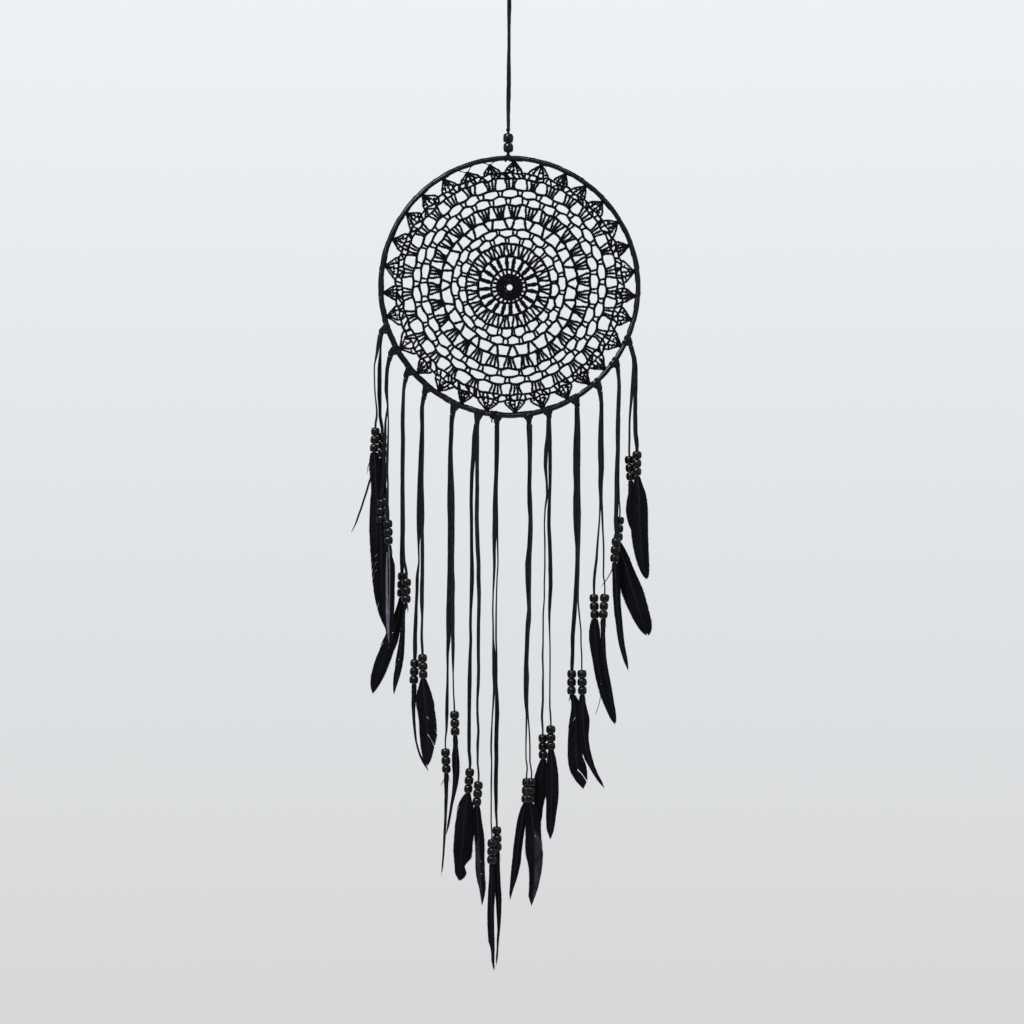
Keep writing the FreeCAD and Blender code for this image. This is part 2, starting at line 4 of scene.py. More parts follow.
import bpy
import numpy as np
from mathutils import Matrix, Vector


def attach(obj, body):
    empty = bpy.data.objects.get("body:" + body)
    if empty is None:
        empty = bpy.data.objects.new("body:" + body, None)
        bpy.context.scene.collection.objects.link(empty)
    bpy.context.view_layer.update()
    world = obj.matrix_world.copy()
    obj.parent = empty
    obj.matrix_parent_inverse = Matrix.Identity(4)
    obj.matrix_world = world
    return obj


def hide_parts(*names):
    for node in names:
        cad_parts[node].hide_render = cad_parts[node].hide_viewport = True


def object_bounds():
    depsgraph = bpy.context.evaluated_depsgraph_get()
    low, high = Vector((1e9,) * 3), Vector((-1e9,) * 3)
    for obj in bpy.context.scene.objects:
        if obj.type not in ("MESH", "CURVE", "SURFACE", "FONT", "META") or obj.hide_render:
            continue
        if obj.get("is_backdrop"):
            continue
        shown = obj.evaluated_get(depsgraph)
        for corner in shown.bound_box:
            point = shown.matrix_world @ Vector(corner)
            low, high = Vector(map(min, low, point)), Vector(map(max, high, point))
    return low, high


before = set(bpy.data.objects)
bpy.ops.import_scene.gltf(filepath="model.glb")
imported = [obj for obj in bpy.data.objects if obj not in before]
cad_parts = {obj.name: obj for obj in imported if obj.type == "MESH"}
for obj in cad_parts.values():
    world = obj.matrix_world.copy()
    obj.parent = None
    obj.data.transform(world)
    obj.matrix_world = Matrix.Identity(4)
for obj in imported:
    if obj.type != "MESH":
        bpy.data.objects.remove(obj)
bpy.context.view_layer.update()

# Dream catcher.  Metres, +Z up, the front looks along -Y.
MM = 0.001
DROP = 254.0          # hoop centre below the origin, mm
HOOP = 98.2           # hoop centreline radius, mm
KNOT_R = 2.6

# ------------------------------------------------------------------ camera, light
cam_data = bpy.data.cameras.new("camera")
cam_data.lens = 85.0
cam_data.sensor_width = 36.0
cam_data.clip_start, cam_data.clip_end = 0.05, 30.0
cam = bpy.data.objects.new("camera", cam_data)
bpy.context.scene.collection.objects.link(cam)
cam.location = (0.00206, -1.845, -0.4258)
cam.rotation_euler = (math.pi / 2, 0, 0)
bpy.context.scene.camera = cam
bpy.context.scene.view_settings.view_transform = "Standard"


def area_light(name, place, target, size, power, colour=(1, 1, 1)):
    data = bpy.data.lights.new(name, "AREA")
    data.shape = "DISK"
    data.size = size
    data.energy = power
    data.color = colour
    lamp = bpy.data.objects.new(name, data)
    bpy.context.scene.collection.objects.link(lamp)
    lamp.location = place
    lamp.rotation_euler = (Vector(target) - Vector(place)).to_track_quat("-Z", "Y").to_euler()
    return lamp


area_light("key", (-0.9, -1.5, 0.75), (0, 0, -0.35), 0.45, 79.0)
area_light("front", (0.3, -1.9, 1.3), (0, 0, -0.3), 0.3, 26.0)
area_light("fill", (1.4, -1.3, -0.1), (0, 0, -0.45), 0.9, 5.0)
area_light("rim", (0.5, 1.2, 0.5), (0, 0, -0.4), 0.8, 10.0)

world = bpy.data.worlds.new("studio")
bpy.context.scene.world = world
world.use_nodes = True
wt = world.node_tree
back = wt.nodes["Background"]
coord = wt.nodes.new("ShaderNodeTexCoord")
part = wt.nodes.new("ShaderNodeSeparateXYZ")
ramp = wt.nodes.new("ShaderNodeValToRGB")
span = wt.nodes.new("ShaderNodeMapRange")
span.inputs["From Min"].default_value = -0.3
span.inputs["From Max"].default_value = 0.3
wt.links.new(coord.outputs["Generated"], part.inputs[0])
wt.links.new(part.outputs["Z"], span.inputs["Value"])
wt.links.new(span.outputs["Result"], ramp.inputs["Fac"])
ramp.color_ramp.elements[0].color = (0.635, 0.634, 0.637, 1)
ramp.color_ramp.elements[1].color = (0.886, 0.935, 0.975, 1)
wt.links.new(ramp.outputs["Color"], back.inputs["Color"])
back.inputs["Strength"].default_value = 1.0


# ------------------------------------------------------------------ materials
def material(name, colour, rough, spec=0.3, sheen=0.0, sheen_tint=(1, 1, 1), coat=0.0,
             noise=(900.0, 0.35), second=None, bump=0.0, bump_scale=1500.0, stretch=None,
             dist=0.0003, rough_var=0.12, coat_rough=0.15, aniso=0.0):
    """Principled material: colour mottled by noise, roughness and bump from finer noise."""
    m = bpy.data.materials.new(name)
    m.use_nodes = True
    nt = m.node_tree
    p = nt.nodes["Principled BSDF"]
    p.inputs["Specular IOR Level"].default_value = spec
    p.inputs["Sheen Weight"].default_value = sheen
    p.inputs["Sheen Tint"].default_value = (*sheen_tint, 1)
    p.inputs["Sheen Roughness"].default_value = 0.45
    p.inputs["Coat Weight"].default_value = coat
    p.inputs["Coat Roughness"].default_value = coat_rough
    p.inputs["Anisotropic"].default_value = aniso
    tc = nt.nodes.new("ShaderNodeTexCoord")
    mp = nt.nodes.new("ShaderNodeMapping")
    if stretch:
        mp.inputs["Scale"].default_value = stretch
    nt.links.new(tc.outputs["Object"], mp.inputs["Vector"])
    n1 = nt.nodes.new("ShaderNodeTexNoise")
    n1.inputs["Scale"].default_value = noise[0]
    n1.inputs["Detail"].default_value = 4.0
    nt.links.new(mp.outputs["Vector"], n1.inputs["Vector"])
    cr = nt.nodes.new("ShaderNodeValToRGB")
    a = [c * (1 - noise[1]) for c in colour]
    b = list(second) if second else [c * (1 + noise[1] * 1.6) for c in colour]
    cr.color_ramp.elements[0].position = 0.32
    cr.color_ramp.elements[1].position = 0.72
    cr.color_ramp.elements[0].color = (*a, 1)
    cr.color_ramp.elements[1].color = (*b, 1)
    nt.links.new(n1.outputs["Fac"], cr.inputs["Fac"])
    nt.links.new(cr.outputs["Color"], p.inputs["Base Color"])
    n2 = nt.nodes.new("ShaderNodeTexNoise")
    n2.inputs["Scale"].default_value = bump_scale
    n2.inputs["Detail"].default_value = 6.0
    nt.links.new(mp.outputs["Vector"], n2.inputs["Vector"])
    rr = nt.nodes.new("ShaderNodeMapRange")
    rr.inputs["To Min"].default_value = max(0.02, rough - rough_var)
    rr.inputs["To Max"].default_value = min(1.0, rough + rough_var)
    nt.links.new(n2.outputs["Fac"], rr.inputs["Value"])
    nt.links.new(rr.outputs["Result"], p.inputs["Roughness"])
    if bump:
        bp = nt.nodes.new("ShaderNodeBump")
        bp.inputs["Strength"].default_value = bump
        bp.inputs["Distance"].default_value = dist
        nt.links.new(n2.outputs["Fac"], bp.inputs["Height"])
        nt.links.new(bp.outputs["Normal"], p.inputs["Normal"])
    return m


M_LACE = material("suede_lace", (0.0020, 0.0024, 0.0034), 0.8, spec=0.06, sheen=0.018,
                  sheen_tint=(0.72, 0.8, 1.0), noise=(260, 0.6), bump=0.4, bump_scale=2000, dist=0.00025)
M_WRAP = material("suede_tape", (0.0006, 0.0006, 0.0008), 0.27, spec=0.12, sheen=0.0,
                  noise=(420, 0.5), bump=0.22, bump_scale=1800, dist=0.0002, rough_var=0.06)
M_YARN = material("crochet_yarn", (0.0015, 0.0015, 0.0018), 0.9, spec=0.03, sheen=0.014,
                  sheen_tint=(0.75, 0.78, 1.0), noise=(900, 0.5), bump=0.7, bump_scale=4200,
                  dist=0.00025)
M_BEAD = material("black_bead", (0.0005, 0.0005, 0.0007), 0.22, spec=0.11, coat=0.06,
                  coat_rough=0.1, noise=(500, 0.4), bump=0.16, bump_scale=900,
                  stretch=(1.0, 1.0, 0.22), dist=0.0003, rough_var=0.08)
M_VANE = material("feather_vane", (0.0007, 0.0007, 0.0011), 0.45, spec=0.04, sheen=0.007,
                  sheen_tint=(0.42, 0.5, 1.0), noise=(45, 0.3),
                  second=(0.0015, 0.0016, 0.0032), bump=0.2, bump_scale=2400, dist=0.0002)
# Lighter grey-lilac vane colour: a painted sheen, the soft highlight on the lower vanes of a few feathers put into the
# base colour.
M_PAINTED_SHEEN = material("feather_vane_painted_sheen", (0.0045, 0.0042, 0.0058), 0.5, spec=0.08, sheen=0.02,
                   sheen_tint=(0.7, 0.68, 1.0), noise=(160, 0.55),
                   second=(0.013, 0.0125, 0.017), bump=0.25, bump_scale=2000, dist=0.0002)
M_RACHIS = material("feather_shaft", (0.0022, 0.0022, 0.0026), 0.38, spec=0.1, coat=0.03,
                    noise=(300, 0.4), bump=0.1, bump_scale=1200)
M_PALE = material("pale_shaft", (0.034, 0.033, 0.043), 0.5, spec=0.2, coat=0.0,
                  noise=(300, 0.35), bump=0.1, bump_scale=1200)
M_STEEL = material("steel_wire", (0.32, 0.32, 0.33), 0.35, spec=0.5, noise=(800, 0.15))
M_STEEL.node_tree.nodes["Principled BSDF"].inputs["Metallic"].default_value = 1.0
M_FLOOR = material("floor", (0.78, 0.80, 0.82), 0.9, spec=0.1, noise=(3, 0.02), rough_var=0.02)


# ------------------------------------------------------------------ mesh tools
class Mesher:
    """Gathers closed strips and tubes as one mesh.  Input in millimetres."""

    def __init__(self):
        self.v, self.f, self.mat, self.n = [], [], [], 0

    def rings(self, rings, closed=False, tip=False, mat=0, shift=0):
        """rings: (count, sides, 3).  Ends are capped with a middle point; tip is not used."""
        rings = np.asarray(rings, float)
        m, k = rings.shape[:2]
        base = self.n
        self.v.append(rings.reshape(-1, 3))
        self.n += m * k
        i = np.arange(m if closed else m - 1)[:, None]
        j = np.arange(k)[None, :]
        i2, j2 = (i + 1) % m, (j + 1) % k
        a, b = base + i * k + j, base + i * k + j2
        c, d = base + i2 * k + j2, base + i2 * k + j
        q = np.stack([a + 0 * b, b + 0 * a, c, d], -1).reshape(-1, 4)
        self.f.append(q)
        count = len(q)
        if not closed:
            for end, row in ((0, 0), (1, m - 1)):
                centre = rings[row].mean(0)
                self.v.append(centre[None])
                cidx = self.n
                self.n += 1
                jj = np.arange(k)
                p, r = base + row * k + jj, base + row * k + (jj + 1) % k
                tri = np.stack([r, p, np.full(k, cidx)], -1) if end == 0 else np.stack([p, r, np.full(k, cidx)], -1)
                self.f.append(tri)
                count += k
        self.mat += [mat] * count

    def object(self, name, materials, smooth=True):
        verts = np.concatenate(self.v) * MM
        faces = [tuple(int(x) for x in row) for block in self.f for row in block]
        mesh = bpy.data.meshes.new(name)
        mesh.from_pydata(verts.tolist(), [], faces)
        for m in materials:
            mesh.materials.append(m)
        mesh.polygons.foreach_set("material_index", self.mat)
        mesh.polygons.foreach_set("use_smooth", [smooth] * len(faces))
        mesh.update()
        o = bpy.data.objects.new(name, mesh)
        bpy.context.scene.collection.objects.link(o)
        return o


def unit(v):
    v = np.asarray(v, float)
    return v / np.maximum(np.linalg.norm(v, axis=-1, keepdims=True), 1e-12)


def frames(points, across):
    """Tangent, side and normal at each point; side stays near the given direction."""
    t = unit(np.gradient(points, axis=0))
    across = np.broadcast_to(np.asarray(across, float), t.shape)
    side = unit(across - (across * t).sum(1, keepdims=True) * t)
    normal = np.cross(t, side)
    return t, side, normal


def spaced(points, step):
    """The polyline read again at equal steps."""
    points = np.asarray(points, float)
    s = np.concatenate([[0], np.cumsum(np.linalg.norm(np.diff(points, axis=0), axis=1))])
    n = max(3, int(round(s[-1] / step)) + 1)
    w = np.linspace(0, s[-1], n)
    return np.stack([np.interp(w, s, points[:, k]) for k in range(3)], 1)


def smooth_path(points, step, closed=False):
    """A Catmull-Rom line through the points, at equal steps."""
    p = np.asarray(points, float)
    if closed:
        p = np.concatenate([p[-1:], p, p[:2]])
    else:
        p = np.concatenate([2 * p[:1] - p[1:2], p, 2 * p[-1:] - p[-2:-1]])
    out = []
    for a, b, c, d in zip(p, p[1:], p[2:], p[3:]):
        t = np.linspace(0, 1, 12, endpoint=False)[:, None]
        out.append(0.5 * (2 * b + (c - a) * t + (2 * a - 5 * b + 4 * c - d) * t**2
                          + (3 * b - a - 3 * c + d) * t**3))
    if closed:
        q = np.concatenate(out + [out[0][:1]])
        return spaced(q, step)[:-1]
    return spaced(np.concatenate(out + [p[-2:-1]]), step)


RIB = [(1.0, 0.0), (0.97, 0.42), (0.86, 0.86), (0.5, 1.0), (0.0, 1.0), (-0.5, 1.0),
       (-0.86, 0.86), (-0.97, 0.42), (-1.0, 0.0), (-0.97, -0.42), (-0.86, -0.86),
       (-0.5, -1.0), (0.0, -1.0), (0.5, -1.0), (0.86, -0.86), (0.97, -0.42)]


def ribbon_rings(points, side, normal, width, thick, wave=0.0, seed=0):
    """Cross sections of a flat lace with rounded edges."""
    rng = np.random.default_rng(seed)
    m = len(points)
    width = np.broadcast_to(np.asarray(width, float), (m,))
    thick = np.broadcast_to(np.asarray(thick, float), (m,))
    rag = 1 + wave * np.convolve(rng.normal(0, 2, m + 8), np.hanning(11)[1:-1] / 5, "valid")[:m]
    rings = np.empty((m, len(RIB), 3))
    for j, (a, b) in enumerate(RIB):
        rings[:, j] = (points + side * (a * width * rag / 2)[:, None]
                       + normal * (b * thick / 2)[:, None])
    return rings


def round_rings(points, side, normal, radius, sides=6, turn=0.0):
    m = len(points)
    radius = np.broadcast_to(np.asarray(radius, float), (m,))
    rings = np.empty((m, sides, 3))
    for j in range(sides):
        a = 2 * math.pi * j / sides + turn
        rings[:, j] = (points + side * (math.cos(a) * radius)[:, None]
                       + normal * (math.sin(a) * radius)[:, None])
    return rings


def nurbs_line(name, route, step):
    """The cord's own smooth line: a NURBS spline on the route, read back as points in mm."""
    curve = bpy.data.curves.new(name + "_line", "CURVE")
    curve.dimensions = "3D"
    curve.resolution_u = 48
    spline = curve.splines.new("NURBS")
    spline.points.add(len(route) - 1)
    for point, place in zip(spline.points, route):
        point.co = (*[c * MM for c in place], 1)
    spline.order_u = 3
    spline.use_endpoint_u = True
    o = bpy.data.objects.new(name + "_line", curve)
    mesh = bpy.data.meshes.new_from_object(o)
    points = np.array([v.co for v in mesh.vertices], float) / MM
    bpy.data.objects.remove(o)
    bpy.data.curves.remove(curve)
    bpy.data.meshes.remove(mesh)
    return spaced(points, step)


TAILS = {
    "01a": [(-98.51, -1.55, -290.55), (-102.53, 0.35, -315.73), (-101.33, 1.5, -351.08), (-103.17, 1.5, -376.92)],
    "01b": [(-96.81, 1.55, -290.55), (-98.56, 4.99, -320.06), (-97.28, 6.7, -353.78), (-97.28, 6.7, -380.88)],
    "02a": [(-91.49, 1.55, -307.33), (-94.39, -1.76, -349.63), (-96.81, -3.4, -397.32), (-97.61, -3.4, -431.31)],
    "02b": [(-89.79, -1.55, -307.33), (-92.75, -3.97, -330.42), (-91.81, -7.25, -372.27), (-93, -8.6, -413.35), (-91.82, -8.6, -447.33)],
    "03a": [(-79.67, 1.55, -323.74), (-81.41, 1.73, -355.65), (-81.61, 3.15, -407.85), (-81.58, 3.7, -453.68), (-82.43, 3.7, -487.67)],
    "03b": [(-77.97, -1.55, -323.74), (-80.33, -1.73, -358.91), (-80.42, -2.37, -407.87), (-77.77, -2.6, -458.08), (-78.62, -2.6, -492.07)],
    "04a": [(-65.55, 1.55, -337.09), (-66.93, 1.63, -372.55), (-68.14, 2.09, -419.58), (-69.69, 2.46, -470.78), (-71.41, 2.6, -520.03), (-72.89, 2.6, -554)],
    "04b": [(-63.85, -1.55, -337.09), (-65.48, -1.76, -370.03), (-66.38, -2, -417.09), (-66.07, -2.47, -467.64), (-67, -2.6, -515.73), (-65.55, -2.6, -549.7)],
    "05a": [(-42.26, -1.55, -351.59), (-43.17, -1.55, -379.88), (-42.96, -1.84, -427.6), (-42.96, -2.12, -474.64), (-42.7, -2.2, -518.94), (-42.49, -2.4, -559.09), (-41.28, -2.4, -593.07)],
    "05b": [(-43.96, 1.55, -351.59), (-44.47, 1.69, -383.86), (-45.11, 1.77, -433.54), (-45.16, 2.13, -484.66), (-46.7, 2.3, -536.87), (-49.94, 2.4, -588.18), (-48.08, 2.4, -622.13)],
    "06a": [(-25.34, 1.55, -358.61), (-27.55, 1.58, -394.26), (-28.63, 1.87, -441.01), (-29.05, 2.13, -497.43), (-29.96, 2.21, -550.56), (-28.42, 2.4, -603.42), (-31.31, 2.4, -637.3)],
    "06b": [(-23.64, -1.55, -358.61), (-24.64, -1.56, -386.6), (-24.09, -1.57, -426.07), (-22.95, -2.03, -472.81), (-23.1, -2.23, -523.05), (-23.79, -2.24, -566.54), (-21.81, -2.4, -612.83), (-24.7, -2.4, -646.71)],
    "07a": [(-8.53, 1.55, -359.37), (-8.76, 1.53, -390.24), (-9.11, 1.79, -443.63), (-9.43, 2.32, -498.08), (-9.7, 2.53, -549.85), (-9.2, 3.03, -596.04), (-10.07, 3.1, -647.87), (-9.2, 3.1, -681.86)],
    "07b": [(-10.23, -1.55, -359.37), (-10.06, -1.75, -389.45), (-11.23, -1.82, -435.49), (-11.67, -2.23, -482.51), (-11.95, -2.48, -519.36), (-11.47, -2.63, -565.41), (-13.31, -2.99, -609.77), (-12.92, -3.1, -656.74), (-13.54, -3.1, -690.73)],
    "08a": [(14.18, 1.55, -358.84), (15.25, 1.8, -393.95), (15.66, 2, -437.85), (14.3, 2.36, -484.45), (13.27, 2.82, -520.16), (12.72, 3.19, -564.22), (14.19, 3.4, -611.09), (12.54, 3.4, -645.05)],
    "08b": [(15.88, -1.55, -358.84), (16.51, -1.78, -387.82), (17.25, -2.05, -434.31), (16.17, -2.65, -484.81), (14.78, -3.09, -525.11), (14.49, -3.06, -567.9), (18.63, -3.4, -610.27), (15.74, -3.4, -644.14)],
    "09a": [(29.44, 1.55, -355.02), (28.28, 1.53, -385.61), (26.93, 1.9, -433.7), (26.98, 2.1, -481.62), (25.77, 2.57, -527.98), (25.2, 2.6, -577.31), (25.83, 2.6, -611.3)],
    "09b": [(31.14, -1.55, -355.02), (31.57, -1.74, -392.69), (31.05, -1.91, -434.33), (32.03, -2.27, -474.45), (31.81, -2.54, -528.23), (31.64, -2.6, -570.11), (31.64, -2.6, -604.11)],
    "10a": [(50.96, 1.55, -346.25), (51.07, 1.49, -379.43), (51.05, 1.91, -428.11), (51.22, 2.36, -475.5), (48.09, 2.4, -528.2), (47.5, 2.4, -562.19)],
    "10b": [(52.66, -1.55, -346.25), (52.81, -1.73, -381.57), (53.34, -1.84, -428.18), (53.06, -2.26, -477.24), (54.85, -2.4, -527.79), (55.64, -2.4, -561.79)],
    "11a": [(68.05, 1.55, -333.66), (69.86, 1.65, -364.98), (69.17, 2.09, -414.28), (63.67, 2.4, -470.19), (65.31, 2.4, -504.15)],
    "11b": [(69.75, -1.55, -333.66), (70.96, -1.54, -365.73), (71.26, -2.25, -419.08), (74.24, -2.4, -469.93), (71.65, -2.4, -503.83)],
    "12a": [(81.71, 1.55, -316.49), (83.79, 2.22, -354.99), (86.18, 3.6, -411), (83.29, 3.6, -444.87)],
    "12b": [(83.41, -1.55, -316.49), (83.27, -1.89, -346.37), (82.68, -2.86, -387.5), (83.08, -3.6, -427.12), (80.19, -3.6, -461)],
    "13a": [(91.4, 1.55, -299.32), (94.65, 2.07, -325.57), (90.23, 2.9, -368.86), (92.76, 2.9, -398.51)],
    "13b": [(93.1, -1.55, -299.32), (96.65, -2.08, -331.9), (97.31, -2.9, -366.31), (97.31, -2.9, -395.02)],
}
KNOTS = {
    "01": (-97.66, -287.65, 0, 25),
    "02": (-90.64, -304.43, -25, 0),
    "03": (-78.82, -320.84, 0, 25),
    "04": (-64.7, -334.19, -25, 25),
    "05": (-43.11, -348.69, -25, 25),
    "06": (-24.49, -355.71, -25, 25),
    "07": (-9.38, -356.47, -25, 25),
    "08": (15.03, -355.94, -25, 25),
    "09": (30.29, -352.12, -25, 25),
    "10": (51.81, -343.35, -25, 25),
    "11": (68.9, -330.76, -25, 25),
    "12": (82.56, -313.59, -25, 25),
    "13": (92.25, -296.42, -25, 25),
}
